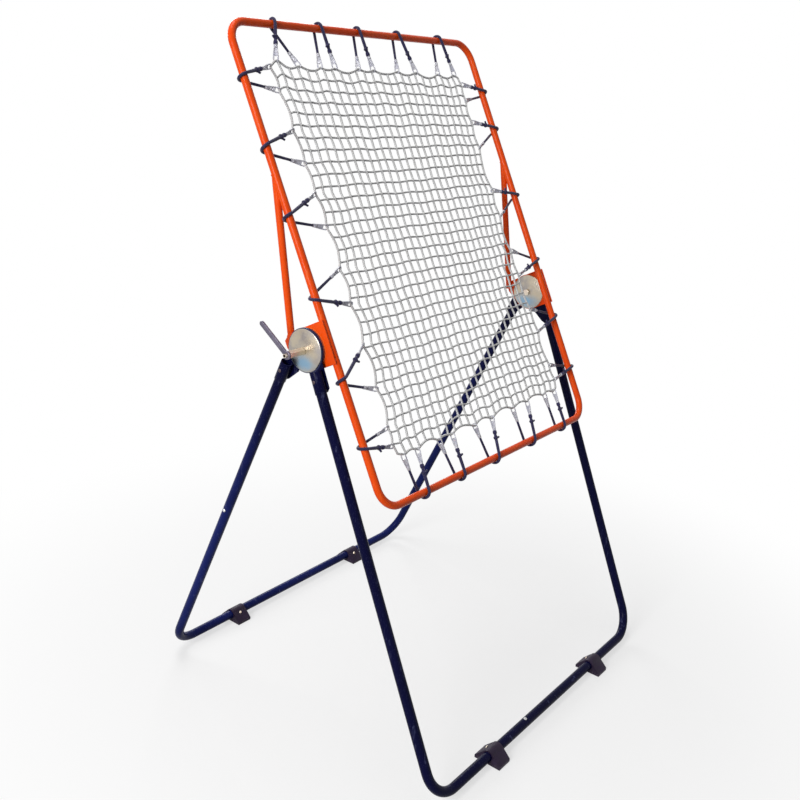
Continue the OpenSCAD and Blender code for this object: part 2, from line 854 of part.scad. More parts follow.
// a hook: a flat loop round the net cord, drawn out to the bungee's end
hook_lean = [0, 1, 0.3];
module hook(reach, back, place_net, place) {
  d = strand(reach, back, place_net, place);
  m = unit(hook_lean - d * (d * hook_lean));
  n = cross(d, m);
  tip = hook_seat + hook_t;
  translate([-reach, 0, place_net])
    multmatrix([[d[0], m[0], n[0], 0], [d[1], m[1], n[1], 0], [d[2], m[2], n[2], 0]])
      linear_extrude(height = hook_t, center = true) difference() {
        polygon([[-tip, -4], [-tip, 4], [12, 6.4], [hook_len, 2.4], [hook_len, -2.4], [12, -6.4]]);
        polygon([[-hook_seat, -3.2], [-hook_seat, 3.2], [12, 4.2],
          [hook_len - 6, 1], [hook_len - 6, -1], [12, -4.2]]);
      }
}

// the strands of one side, hung on a tube along Z at the origin; way is -1 where z runs against the places
module bungees(set, way, far) {
  for (b = set)
    cord(route(far(b[1]), far(b[3]), b * way), bungee_d / 2);
}

module hooks(set, way, far) {
  for (b = set) {
    hook(far(b[1]), -1, b[1] * way, b[0] * way);
    hook(far(b[3]), 1, b[3] * way, b[2] * way);
  }
}

side_reach = function(u) side_x - waist_x(u);
top_reach = function(x) frame_up - net_top;
bottom_reach = function(x) frame_down + net_bottom;

module at_top() {
  tilted() translate([0, 0, frame_up]) rotate([0, -90, 0]) children();
}

module at_bottom() {
  tilted() translate([0, 0, -frame_down]) rotate([0, 90, 0]) children();
}

module at_tube(side) {
  tilted() on_side(side) translate([side_x, 0, 0]) children();
}

module top_bungees() {
  color([0.1, 0.09, 0.17]) at_top() bungees(top_set, -1, top_reach);
}

module bottom_bungees() {
  color([0.1, 0.09, 0.17]) at_bottom() bungees(bottom_set, 1, bottom_reach);
}

module left_bungees() {
  color([0.1, 0.09, 0.17]) at_tube(-1) bungees(left_set, 1, side_reach);
}

module right_bungees() {
  color([0.1, 0.09, 0.17]) at_tube(1) bungees(right_set, 1, side_reach);
}

module top_hooks() {
  color([0.8, 0.82, 0.84]) at_top() hooks(top_set, -1, top_reach);
}

module bottom_hooks() {
  color([0.8, 0.82, 0.84]) at_bottom() hooks(bottom_set, 1, bottom_reach);
}

module left_hooks() {
  color([0.8, 0.82, 0.84]) at_tube(-1) hooks(left_set, 1, side_reach);
}

module right_hooks() {
  color([0.8, 0.82, 0.84]) at_tube(1) hooks(right_set, 1, side_reach);
}

front_left_tube();
front_right_tube();
front_left_bracket();
front_right_bracket();
front_bracket_rivets();
front_left_foot();
front_right_foot();
front_foot_screws();
front_rail_button();
rear_lower_tube();
rear_left_upper_tube();
rear_right_upper_tube();
rear_left_bracket();
rear_right_bracket();
rear_bracket_rivets();
rear_left_foot();
rear_right_foot();
rear_foot_screws();
rear_left_button();
rear_right_button();
left_pivot_bolt();
right_pivot_bolt();
left_outer_disc();
right_outer_disc();
left_inner_disc();
right_inner_disc();
left_friction_discs();
right_friction_discs();
left_clamp_nut();
right_clamp_nut();
left_lever();
right_lever();
frame_tube();
left_brace();
right_brace();
left_pivot_plate();
right_pivot_plate();
net();
top_bungees();
bottom_bungees();
left_bungees();
right_bungees();
top_hooks();
bottom_hooks();
left_hooks();
right_hooks();
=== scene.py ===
# %% [markdown]
# # A rebounder net on folding legs
# The construction comes in finished: tubes, plates, discs and bolts at their real size, and its
# record says which body moves each one. This lesson dresses that frame. It sets up the picture
# first,
# then mixes the finishes, then models what a construction drawing leaves plain: the knotted net,
# the elastic cords that stretch it, their clear hooks, rounded sheet metal and the weld beads.

# %% Load the frame
import json
import math

import bpy
from mathutils import Matrix, Vector


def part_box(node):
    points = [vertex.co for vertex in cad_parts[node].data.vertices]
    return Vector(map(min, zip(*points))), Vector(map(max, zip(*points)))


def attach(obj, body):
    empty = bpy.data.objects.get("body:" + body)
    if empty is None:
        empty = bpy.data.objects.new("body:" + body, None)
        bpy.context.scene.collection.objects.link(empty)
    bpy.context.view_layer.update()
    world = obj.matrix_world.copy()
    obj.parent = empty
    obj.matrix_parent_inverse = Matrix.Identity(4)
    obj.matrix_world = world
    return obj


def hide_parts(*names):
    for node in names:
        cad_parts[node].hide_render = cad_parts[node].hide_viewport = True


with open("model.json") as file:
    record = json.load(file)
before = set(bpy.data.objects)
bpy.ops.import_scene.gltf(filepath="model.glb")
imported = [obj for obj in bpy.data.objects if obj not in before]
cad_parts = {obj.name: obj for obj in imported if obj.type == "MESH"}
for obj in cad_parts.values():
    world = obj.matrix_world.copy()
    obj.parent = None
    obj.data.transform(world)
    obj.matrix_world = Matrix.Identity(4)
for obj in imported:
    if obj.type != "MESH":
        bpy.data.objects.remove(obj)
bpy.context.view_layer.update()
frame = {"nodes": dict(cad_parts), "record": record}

nodes = frame["nodes"]

# %% [markdown]
# ## The view
# The photograph was taken from the left front at a little under the height of a person, with a
# slight roll. Instead of aiming the camera by eye, its three axes are worked out from a yaw, a
# pitch and a roll, because numbers can be corrected one at a time when the outline is compared.

# %% Camera
EYE = Vector((-2.0534, -1.4538, 1.6513))
YAW = math.radians(52.94)
PITCH = math.radians(19.19)
ROLL = math.radians(-3.83)
LENS_MM = 43.18
SENSOR_MM = 36.0

ahead = Vector((math.sin(YAW) * math.cos(PITCH), math.cos(YAW) * math.cos(PITCH), -math.sin(PITCH)))
level = Vector((math.cos(YAW), -math.sin(YAW), 0.0))
under = ahead.cross(level)
right = level * math.cos(ROLL) + under * math.sin(ROLL)
up = level * math.sin(ROLL) - under * math.cos(ROLL)

bpy.ops.object.camera_add()
camera = bpy.context.object
camera.data.lens = LENS_MM
camera.data.sensor_width = SENSOR_MM
camera.matrix_world = Matrix.Translation(EYE) @ Matrix((right, up, -ahead)).transposed().to_4x4()
bpy.context.scene.camera = camera
bpy.context.scene.view_settings.view_transform = "Standard"
print("camera looks along", [round(v, 3) for v in ahead])

# %% [markdown]
# ## Shader maths
# A finish is a small program made of nodes, and long chains of Math nodes are hard to read. The
# class below wraps one socket, so that `0.2 + 0.1 * dust` adds the nodes by itself. A second
# class holds one node tree and has a single method that makes any other node.

# %% A socket that can be added and multiplied
class Value:
    """One output socket; arithmetic on it adds Math nodes to its tree."""

    def __init__(self, recipe, socket):
        self.recipe = recipe
        self.socket = socket

    def also(self, out):
        return Value(self.recipe, self.socket.node.outputs[out])

    def __add__(self, other):
        return self.recipe.maths("ADD", self, other)

    def __radd__(self, other):
        return self.recipe.maths("ADD", other, self)

    def __sub__(self, other):
        return self.recipe.maths("SUBTRACT", self, other)

    def __rsub__(self, other):
        return self.recipe.maths("SUBTRACT", other, self)

    def __mul__(self, other):
        return self.recipe.maths("MULTIPLY", self, other)

    def __rmul__(self, other):
        return self.recipe.maths("MULTIPLY", other, self)


class Recipe:
    """One node tree, with one method that adds any node and a few short forms of it."""

    def __init__(self, tree):
        self.tree = tree

    def add(self, kind, settings=None, sockets=None, out=0):
        node = self.tree.nodes.new(kind)
        for key, setting in (settings or {}).items():
            setattr(node, key, setting)
        for key, given in (sockets or {}).items():
            self.feed(node.inputs[key], given)
        return Value(self, node.outputs[out])

    def feed(self, socket, given):
        if isinstance(given, Value):
            self.tree.links.new(given.socket, socket)
        else:
            socket.default_value = given

    def maths(self, operation, first, second=0.0):
        return self.add("ShaderNodeMath", {"operation": operation}, {0: first, 1: second})

    def vector(self, operation, first, second):
        return self.add("ShaderNodeVectorMath", {"operation": operation}, {0: first, 1: second})

    def place(self, size=(1.0, 1.0, 1.0)):
        """Object coordinates in metres, stretched by size."""
        where = self.add("ShaderNodeTexCoord", out="Object")
        return self.add("ShaderNodeMapping", None, {"Vector": where, "Scale": size})

    def length(self, given):
        return self.add("ShaderNodeVectorMath", {"operation": "LENGTH"}, {0: given}, "Value")

    def noise(self, scale, detail=2.0, rough=0.5, where=None):
        """Cloudy noise with about scale features to a metre, unless where stretches it."""
        where = where or self.place()
        sockets = {"Vector": where, "Scale": scale, "Detail": detail, "Roughness": rough}
        return self.add("ShaderNodeTexNoise", None, sockets)

    def step(self, given, low, high):
        """0 below low, 1 above high, smooth between."""
        sockets = {"Value": given, "From Min": low, "From Max": high}
        return self.add("ShaderNodeMapRange", {"interpolation_type": "SMOOTHSTEP"}, sockets)

    def mix(self, share, first, second):
        """A colour between first and second."""
        return self.add("ShaderNodeMix", {"data_type": "RGBA"}, {0: share, 6: first, 7: second}, 2)

    def bump(self, height, distance, strength):
        sockets = {"Height": height, "Distance": distance, "Strength": strength}
        return self.add("ShaderNodeBump", None, sockets)

    def pale_rays(self):
        """1 for rays that end in the camera, in metal or in clear plastic."""
        rays = self.add("ShaderNodeLightPath", out="Is Camera Ray")
        return rays + rays.also("Is Glossy Ray") + rays.also("Is Transmission Ray")


class Finish(Recipe):
    """A material with one Principled shader."""

    def __init__(self, name):
        self.material = bpy.data.materials.new(name)
        self.material.use_nodes = True
        super().__init__(self.material.node_tree)
        self.surface = self.tree.nodes["Principled BSDF"]

    def done(self, colour, rough, normal, plain):
        """Feed what changes over the surface, and the plain numbers of other sockets."""
        sockets = {"Base Color": colour, "Roughness": rough, "Normal": normal}
        for key, given in (sockets | plain).items():
            self.feed(self.surface.inputs[key], given)
        return self.material


def shade(red, green, blue):
    """A colour as a picture editor shows it, 0 to 255, turned into linear light."""
    parts = [c / 255 for c in (red, green, blue)]
    return (*[p / 12.92 if p <= 0.04045 else ((p + 0.055) / 1.055) ** 2.4 for p in parts], 1.0)


print("mid grey 188 is", round(shade(188, 188, 188)[0], 3), "in linear light")

# %% [markdown]
# ## Floor and light
# The object was cut out on white, so the floor turns white away from the feet and keeps only the
# soft shadow near them. White walls would throw too much light under the tubes, so rays that
# carry light see a duller room, and rays that end in the camera, in metal or in clear plastic
# see the pale one. The main lamp is a large one on the left: it lights the side tubes and leaves
# the under sides of the cross tubes dark, as in the photograph.

# %% Floor
FLOOR_SIZE = 40.0
FLOOR_DROP = 0.0005
FADE_FROM = 0.6
FADE_TO = 1.8
PALE_SHARE = 0.6
WHITE = (1.0, 1.0, 1.0, 1.0)
PALE_PAPER = (0.93, 0.93, 0.93, 1.0)
DULL_PAPER = (0.30, 0.30, 0.32, 1.0)

bpy.ops.mesh.primitive_plane_add(size=FLOOR_SIZE, location=(0.0, 0.0, -FLOOR_DROP))
floor = bpy.context.object
floor.name = "floor"
bpy.ops.object.transform_apply(location=True, rotation=True, scale=True)
paper = Finish("floor_paper")
paper.tree.nodes.remove(paper.surface)
lit = paper.add("ShaderNodeBsdfDiffuse", None, {"Color": PALE_PAPER})
dull = paper.add("ShaderNodeBsdfDiffuse", None, {"Color": DULL_PAPER})
white = paper.add("ShaderNodeEmission", None, {"Color": WHITE, "Strength": 1.0})
fade = paper.step(paper.length(paper.place()), FADE_FROM, FADE_TO)
bleach = PALE_SHARE + (1 - PALE_SHARE) * fade
seen = paper.add("ShaderNodeMixShader", None, {0: bleach, 1: lit, 2: white})
ground = paper.add("ShaderNodeMixShader", None, {0: paper.pale_rays(), 1: dull, 2: seen})
paper.feed(paper.tree.nodes["Material Output"].inputs["Surface"], ground)
floor.data.materials.append(paper.material)
print("floor fades to white between", FADE_FROM, "and", FADE_TO, "m")

# %% Room and lamps
ROOM_LIGHT = 0.13
AIM = Vector((0.0, 0.0, 0.85))

# Each lamp's place and size in metres, and its watts.
LAMPS = {
    "left_lamp": ((-6.2, -0.6, 3.2), 3.0, 325.0),
    "top_lamp": ((-0.2, 1.4, 6.5), 2.6, 120.0),
    "rear_lamp": ((2.4, 3.4, 2.4), 2.0, 70.0),
}

room = bpy.data.worlds.new("studio")
room.use_nodes = True
bpy.context.scene.world = room
sky = Recipe(room.node_tree)
dim = sky.add("ShaderNodeBackground", None, {"Color": WHITE, "Strength": ROOM_LIGHT})
pale = sky.add("ShaderNodeBackground", None, {"Color": WHITE, "Strength": 1.0})
walls = sky.add("ShaderNodeMixShader", None, {0: sky.pale_rays(), 1: dim, 2: pale})
sky.feed(room.node_tree.nodes["World Output"].inputs["Surface"], walls)

for name, (spot, size, watts) in LAMPS.items():
    bpy.ops.object.light_add(type="AREA", location=spot)
    lamp = bpy.context.object
    lamp.name = name
    lamp.data.size = size
    lamp.data.energy = watts
    lamp.rotation_euler = (AIM - Vector(spot)).to_track_quat("-Z", "Y").to_euler()
print("lamps", ", ".join(LAMPS))

# %% [markdown]
# ## Paint
# The net frame is orange and the legs are a blue so dark that it reads as black. Both are baked
# enamel: glossy, with the faint dimples called orange peel, a little dust, and thin upright
# scuffs. One function mixes both, because only colour and shine differ. The rear legs catch more
# light and look bluer than the front ones, so painted light makes the navy lighter and bluer
# towards the back. Round the pivot the discs have turned against the paint, and a ring there is
# duller.

# %% Paint recipe
disc_low, disc_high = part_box("left_outer_disc")
PIVOT_Z = (disc_low.z + disc_high.z) / 2
PIVOT = (0.0, 0.0, PIVOT_Z)
DISC_R = (disc_high.z - disc_low.z) / 2
RUB_FROM = DISC_R - 0.004
RUB_TO = DISC_R + 0.001
RUB_SOFT_IN = 0.002
RUB_SOFT_OUT = 0.003
BEHIND_FROM = 0.02
BEHIND_TO = 0.30
SCUFF_GRAIN = (90.0, 90.0, 9.0)

# Fresh, deep and scuffed colours from 0 to 255, the shine, and the painted lighter colour at the
# back.
ENAMELS = {
    "orange_enamel": ((246, 84, 14), (234, 62, 6), (250, 136, 66), 0.12, None),
    "navy_enamel": ((8, 9, 53), (5, 6, 37), (98, 103, 142), 0.05, (24, 35, 102)),
}


def arm_from_pivot(recipe):
    """The way to a point from the pivot's axis, which runs along X."""
    flat = recipe.vector("MULTIPLY", recipe.place(), (0.0, 1.0, 1.0))
    return recipe.vector("SUBTRACT", flat, PIVOT)


def rubbed_ring(recipe):
    """1 where the rims of the discs have rubbed on the paint, 0 elsewhere."""
    radius = recipe.length(arm_from_pivot(recipe))
    beyond = recipe.step(radius, RUB_FROM - RUB_SOFT_IN, RUB_FROM)
    return beyond * (1 - recipe.step(radius, RUB_TO, RUB_TO + RUB_SOFT_OUT))


def paint(name, fresh, deep, scuffed, shine, painted_lit_behind):
    finish = Finish(name)
    colour = shade(*fresh)
    # Painted light: the rear legs catch more light, so the colour is painted lighter and bluer
    # towards the back.
    if painted_lit_behind:
        depth = finish.add("ShaderNodeSeparateXYZ", None, {0: finish.place()}, "Y")
        colour = finish.mix(finish.step(depth, BEHIND_FROM, BEHIND_TO), colour, shade(*painted_lit_behind))
    peel = finish.noise(scale=330.0, detail=1.5)
    cloud = finish.step(finish.noise(scale=7.0, detail=3.0), 0.35, 0.7)
    dust = finish.step(finish.noise(scale=520.0, detail=1.0), 0.62, 0.72)
    streak = finish.noise(scale=1.0, detail=3.0, rough=0.6, where=finish.place(SCUFF_GRAIN))
    scuff = finish.step(streak, 0.60, 0.72)
    rubbed = rubbed_ring(finish)
    colour = finish.mix(0.45 * cloud, colour, shade(*deep))
    colour = finish.mix(0.30 * scuff + 0.18 * dust + 0.35 * rubbed, colour, shade(*scuffed))
    rough = 0.20 + 0.07 * cloud + 0.22 * scuff + 0.25 * rubbed
    normal = finish.bump(peel + 0.6 * dust, distance=0.00010, strength=0.6)
    return finish.done(colour, rough, normal, {"Specular IOR Level": shine})


enamels = {name: paint(name, *recipe) for name, recipe in ENAMELS.items()}
print("enamels mixed:", ", ".join(enamels))

# %% [markdown]
# ## Plated steel
# The clamp discs are zinc plated: a warm grey metal with fine rings left by the press tool, and
# below the pivot a painted blue reflection. Nuts, bolts and screws carry the yellow kind of
# plating, a pale gold that drifts towards pink. Levers, rivets and buttons are plainer steel. All
# of them are one recipe: a metal with two drifting tints, ring or grain marks, small dark pits
# and, on the discs, the painted reflection.

# %% Metal recipe
RING_RADIANS_PER_METRE = 5200.0
# The blue below the pivot is a painted reflection of the surroundings in the zinc, not a tint of
# the plating.
REFLECTED_BLUE = (120, 168, 202)
BLUE_BELOW = (0.0, 0.0, 0.029)
BLUE_WIDE = (0.0, 0.5, 1.0)
BLUE_FROM = 0.004
BLUE_TO = 0.032
BLUE_WANDER = 0.012

# Tint, drift and pits from 0 to 255, then the roughness, the depth of the rings and the painted
# reflection's share.
METALS = {
    "zinc_plate": ((190, 179, 160), (162, 156, 152), (112, 106, 102), 0.28, 0.35, 0.8),
    "yellow_zinc_plate": ((228, 219, 198), (218, 200, 186), (150, 132, 112), 0.24, 0.0, 0.0),
    "lever_steel": ((122, 116, 132), (102, 97, 114), (66, 62, 70), 0.34, 0.0, 0.0),
    "bright_steel": ((206, 206, 208), (190, 192, 198), (130, 130, 132), 0.18, 0.0, 0.0),
    "rivet_steel": ((88, 76, 80), (70, 62, 68), (40, 34, 38), 0.38, 0.0, 0.0),
}


def metal(name, tint, drift, dark, base_rough, rings, painted_reflection_share):
    finish = Finish(name)
    wander = finish.step(finish.noise(scale=26.0, detail=3.0, rough=0.55), 0.38, 0.66)
    grain = finish.noise(scale=900.0)
    pits = finish.step(finish.noise(scale=420.0), 0.66, 0.74)
    arm = arm_from_pivot(finish)
    groove = finish.maths("SINE", RING_RADIANS_PER_METRE * finish.length(arm) + 2.0 * wander)
    below = finish.vector("ADD", finish.vector("MULTIPLY", arm, BLUE_WIDE), BLUE_BELOW)
    away = finish.length(below) + BLUE_WANDER * wander
    # Painted reflection: a blue patch below the pivot, where the zinc reflects its surroundings.
    painted_reflection = 1 - finish.step(away, BLUE_FROM, BLUE_TO)
    colour = finish.mix(wander, shade(*tint), shade(*drift))
    colour = finish.mix(painted_reflection_share * painted_reflection, colour, shade(*REFLECTED_BLUE))
    colour = finish.mix(0.55 * pits, colour, shade(*dark))
    rough = base_rough + 0.10 * grain + 0.12 * pits + 0.06 * wander
    relief = 0.5 * grain + rings * groove - 0.7 * pits
    normal = finish.bump(relief, distance=0.00006, strength=0.5)
    return finish.done(colour, rough, normal, {"Metallic": 1.0})


metals = {name: metal(name, *recipe) for name, recipe in METALS.items()}
print("metals mixed:", ", ".join(metals))

# %% [markdown]
# ## Rubber
# The feet are moulded rubber, a violet black with a paler bloom. The mould leaves a fine matt
# grain, and the skirt that meets the ground is scuffed paler, so the scuffs fade out with height.

# %% Rubber recipe
SKIRT_FROM = 0.001
SKIRT_TO = 0.013


def rubber(name):
    finish = Finish(name)
    grain = finish.noise(scale=1100.0)
    bloom = finish.step(finish.noise(scale=34.0, detail=4.0, rough=0.6), 0.40, 0.70)
    height = finish.add("ShaderNodeSeparateXYZ", None, {0: finish.place()}, "Z")
    skirt = 1 - finish.step(height, SKIRT_FROM, SKIRT_TO)
    scuff = skirt * finish.step(finish.noise(scale=180.0, detail=3.0), 0.45, 0.65)
    colour = finish.mix(0.7 * bloom, shade(34, 22, 44), shade(50, 37, 62))
    colour = finish.mix(0.6 * scuff, colour, shade(104, 94, 106))
    rough = 0.48 + 0.16 * bloom + 0.2 * scuff
    normal = finish.bump(grain + 0.5 * scuff, distance=0.00010, strength=0.6)
    return finish.done(colour, rough, normal, {"Specular IOR Level": 0.2})


foot_rubber = rubber("foot_rubber")
print("rubber mixed")

# %% [markdown]
# ## Cords
# The net is a white-grey twine of three twisted strands, and the elastic cords wear a dark woven
# sleeve. Both patterns have to follow the cord, so they read the piece's own UV map, where one
# number goes once round the cord and the other counts metres along it. A twist is one slanted
# wave, and a woven sleeve is two waves that slant against each other.

# %% Cord recipes
def round_and_along(recipe):
    """The UV map's two numbers: turns round the cord and metres along it."""
    uv = recipe.add("ShaderNodeTexCoord", out="UV")
    around = recipe.add("ShaderNodeSeparateXYZ", None, {0: uv}, "X")
    return around, around.also("Y")


def wave(recipe, around, along, turns, per_metre):
    """A slanted stripe from 0 to 1 that goes round a cord."""
    phase = 2 * math.pi * turns * around + 2 * math.pi * per_metre * along
    return 0.5 + 0.5 * recipe.maths("SINE", phase)


def twine(name):
    finish = Finish(name)
    around, along = round_and_along(finish)
    lay = wave(finish, around, along, turns=3.0, per_metre=190.0)
    fuzz = finish.noise(scale=1500.0)
    soil = finish.step(finish.noise(scale=11.0, detail=3.0), 0.40, 0.70)
    colour = finish.mix(lay, shade(194, 194, 195), shade(240, 240, 239))
    colour = finish.mix(0.25 * soil, colour, shade(206, 204, 198))
    rough = 0.62 + 0.18 * fuzz
    normal = finish.bump(lay + 0.2 * fuzz, distance=0.0006, strength=0.8)
    return finish.done(colour, rough, normal, {"Specular IOR Level": 0.25, "Sheen Weight": 0.15})


def woven_sleeve(name):
    finish = Finish(name)
    around, along = round_and_along(finish)
    one_way = wave(finish, around, along, turns=5.0, per_metre=230.0)
    other_way = wave(finish, around, along, turns=-5.0, per_metre=230.0)
    weave = one_way * other_way
    fuzz = finish.noise(scale=1700.0)
    worn = finish.step(finish.noise(scale=60.0, detail=3.0), 0.50, 0.72)
    colour = finish.mix(weave, shade(16, 13, 44), shade(48, 42, 104))
    colour = finish.mix(0.3 * worn, colour, shade(70, 66, 118))
    rough = 0.55 + 0.2 * fuzz
    normal = finish.bump(weave + 0.2 * fuzz, distance=0.0005, strength=0.8)
    return finish.done(colour, rough, normal, {"Specular IOR Level": 0.3, "Sheen Weight": 0.2})


net_twine = twine("net_twine")
bungee_sleeve = woven_sleeve("bungee_sleeve")
print("twine and sleeve mixed")

# %% [markdown]
# ## Clear plastic
# The hooks are moulded in clear plastic that has gone milky. Plastic as clear as glass would be
# lost against the white floor, so only a part of the light passes and the rest meets a pale,
# rough surface. With that the last finish is mixed, and each node gets the one that its slot in
# the frame's record asks for.

# %% Clear plastic recipe
def clear_plastic(name):
    finish = Finish(name)
    flow = finish.noise(scale=300.0)
    haze = finish.step(finish.noise(scale=70.0, detail=3.0), 0.40, 0.70)
    colour = finish.mix(haze, shade(224, 224, 232), shade(196, 197, 212))
    rough = 0.26 + 0.18 * haze
    normal = finish.bump(flow, distance=0.00015, strength=0.5)
    return finish.done(colour, rough, normal, {"IOR": 1.46, "Transmission Weight": 0.25})


FINISHES = {
    "orange_paint": enamels["orange_enamel"],
    "navy_paint": enamels["navy_enamel"],
    "zinc": metals["zinc_plate"],
    "yellow_zinc": metals["yellow_zinc_plate"],
    "lever_steel": metals["lever_steel"],
    "bright_steel": metals["bright_steel"],
    "rivet_steel": metals["rivet_steel"],
    "foot_rubber": foot_rubber,
    "net_cord": net_twine,
    "bungee_cord": bungee_sleeve,
    "hook_plastic": clear_plastic("hook_plastic"),
}
slot_of = {name: node.material_slots[0].material.name.split(".")[0] for name, node in nodes.items()}
for name, node in nodes.items():
    node.material_slots[0].material = FINISHES[slot_of[name]]
print("finished nodes:", len(slot_of))

# %% [markdown]
# ## Working by hand
# Most modelling steps below select one piece and use the same operators as the menus. A few
# helpers keep that short: pick() selects, close_up() merges doubled points and turns the faces
# outwards, combine() cuts one piece with another, and hand_over() puts a finished piece on the
# body that carries it.

# %% Hand tools
def pick(*pieces):
    """Select only these pieces, with the first one active."""
    bpy.ops.object.select_all(action="DESELECT")
    for piece in pieces:
        piece.hide_set(False)
        piece.select_set(True)
    bpy.context.view_layer.objects.active = pieces[0]


def close_up(piece, gap=1e-6):
    """Merge doubled points and turn every face outwards."""
    pick(piece)
    bpy.ops.object.mode_set(mode="EDIT")
    bpy.ops.mesh.select_all(action="SELECT")
    bpy.ops.mesh.remove_doubles(threshold=gap)
    bpy.ops.mesh.normals_make_consistent(inside=False)
    bpy.ops.object.mode_set(mode="OBJECT")


def drop_slivers(piece, gap=5e-6):
    """Merge away the faces without area that a Boolean or a bevel can leave."""
    close_up(piece, gap)
    bpy.ops.object.mode_set(mode="EDIT")
    bpy.ops.mesh.dissolve_degenerate(threshold=gap)
    bpy.ops.object.mode_set(mode="OBJECT")


def apply_all(piece):
    pick(piece)
    for modifier in list(piece.modifiers):
        bpy.ops.object.modifier_apply(modifier=modifier.name)


def joined(name, pieces):
    pick(*pieces)
    bpy.ops.object.join()
    pieces[0].name = name
    return pieces[0]


def copy_of(piece, turn):
    """A copy with its own mesh, set in place inside that mesh."""
    twin = bpy.data.objects.new(piece.name, piece.data.copy())
    bpy.context.collection.objects.link(twin)
    twin.data.transform(turn)
    return twin


def put_away(piece):
    bpy.data.objects.remove(piece, do_unlink=True)


def combine(piece, tool, operation):
    """Apply a Boolean with a tool that is put away afterwards."""
    change = piece.modifiers.new("change", "BOOLEAN")
    change.operation = operation
    change.object = tool
    change.solver = "EXACT"
    apply_all(piece)
    put_away(tool)


def hand_over(piece, body, slot, replaced=()):
    piece.data.materials.clear()
    piece.data.materials.append(FINISHES[slot])
    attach(piece, body)
    if replaced:
        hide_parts(*replaced)
    return piece


def smooth(piece, degrees):
    """Shade smooth across edges that bend by less than this."""
    pick(piece)
    bpy.ops.object.shade_smooth_by_angle(angle=math.radians(degrees))


print("hand tools ready")

# %% [markdown]
# ## Turning and sweeping
# Round pieces come from spinning half of their cross-section about an axis, as on a lathe. The
# outline starts as a circle primitive, because a circle is already one closed loop of points,
# and each point is then moved to its place. Cords are curves with a thickness that are turned
# into meshes, and their UV map is stretched so that it counts metres.

# %% Lathe and sweep
MERGE_GAP = 2e-6


def turned(name, outline, centre=(0.0, 0.0, 0.0), *, steps):
    """Spin a closed outline of (along X, radius) points once round the X axis through centre."""
    bpy.ops.mesh.primitive_circle_add(vertices=len(outline))
    piece = bpy.context.object
    piece.name = name
    bpy.ops.object.transform_apply(location=True, rotation=True, scale=True)
    for point, (along, radius) in zip(piece.data.vertices, outline):
        point.co = (along, centre[1], centre[2] + radius)
    bpy.ops.object.mode_set(mode="EDIT")
    bpy.ops.mesh.select_all(action="SELECT")
    bpy.ops.mesh.spin(steps=steps, angle=2 * math.pi, center=centre, axis=(1.0, 0.0, 0.0))
    bpy.ops.object.mode_set(mode="OBJECT")
    close_up(piece, MERGE_GAP)
    return piece


def swept(name, lines, closed=False, fineness=2):
    """Round cords through lists of (point, radius); UV x goes round, y is metres along line 1."""
    curve = bpy.data.curves.new(name, "CURVE")
    curve.dimensions = "3D"
    curve.bevel_depth = 1.0
    curve.bevel_resolution = fineness
    curve.use_fill_caps = not closed
    for line in lines:
        spline = curve.splines.new("POLY")
        spline.points.add(len(line) - 1)
        spline.use_cyclic_u = closed
        for point, (spot, radius) in zip(spline.points, line):
            point.co = (*spot, 1.0)
            point.radius = radius
    piece = bpy.data.objects.new(name, curve)
    bpy.context.collection.objects.link(piece)
    pick(piece)
    bpy.ops.object.convert(target="MESH")
    piece = bpy.context.object
    way = [spot for spot, _ in lines[0]] + [lines[0][0][0]] * closed
    marks = [0.0]
    for here, there in zip(way, way[1:]):
        marks.append(marks[-1] + (there - here).length)
    for corner in piece.data.uv_layers[0].data:
        place = corner.uv.x * (len(marks) - 1)
        step = min(int(place), len(marks) - 2)
        corner.uv = (corner.uv.y, marks[step] + (place - step) * (marks[step + 1] - marks[step]))
    close_up(piece)
    bpy.ops.object.shade_smooth()
    return piece


print("lathe and sweep ready")

# %% [markdown]
# ## The net's own space
# Net, cords and hooks are laid out on the flat frame before it is tilted: x across, y behind the
# net, z up the frame from the pivot. One matrix then tilts the whole layout into place, so the
# numbers below stay as simple as on a drawing. The pivot's height is read from the frame, the
# tubes' sizes repeat the construction's, and the hooks were placed from the photograph.

# %% Layout of the net frame
TILT = math.radians(27.5)
PLANE_BACK = 0.060
TUBE_R = 0.0095
SIDE_X = 0.478
TOP_Z = 0.762
LOW_Z = -0.407
NET_SIDE = 0.386
NET_TOP = 0.662
NET_LOW = -0.306
WAIST = 0.016
tilted = (
    Matrix.Translation(PIVOT)
    @ Matrix.Rotation(-TILT, 4, "X")
    @ Matrix.Translation((0.0, -PLANE_BACK, 0.0))
)

# Each cord in millimetres: place on the tube and on the net in front, then both behind.
TOP_CORDS = [(-335, -358, -326, -287), (-174, -156, -176, -211), (-28, -7, -26, -66)]
TOP_CORDS += [(138, 178, 138, 95), (330, 362, 324, 281)]
LOW_CORDS = [(-322, -303, -332, -358), (-170, -156, -178, -213), (-10, 27, -22, -56)]
LOW_CORDS += [(175, 210, 158, 133), (343, 361, 332, 306)]
LEFT_CORDS = [(633, 656, 624, 598), (469, 500, 454, 419), (304, 345, 292, 263)]
LEFT_CORDS += [(95, 74, 112, 161), (-87, -27, -98, -135), (-258, -275, -247, -230)]
RIGHT_CORDS = [(611, 633, 602, 584), (496, 518, 484, 440), (288, 310, 278, 230)]
RIGHT_CORDS += [(81, 50, 97, 125), (-98, -125, -80, -55), (-258, -275, -248, -230)]


def hooks_of(cords):
    """Where the net is held along one side, in metres, in order."""
    return sorted(place / 1000 for cord in cords for place in (cord[1], cord[3]))


def half_width(height):
    """Half of the net's width: it is pulled to a waist in the middle."""
    middle = (NET_TOP + NET_LOW) / 2
    reach = (NET_TOP - NET_LOW) / 2
    return NET_SIDE - WAIST * max(0.0, 1 - ((height - middle) / reach) ** 2)


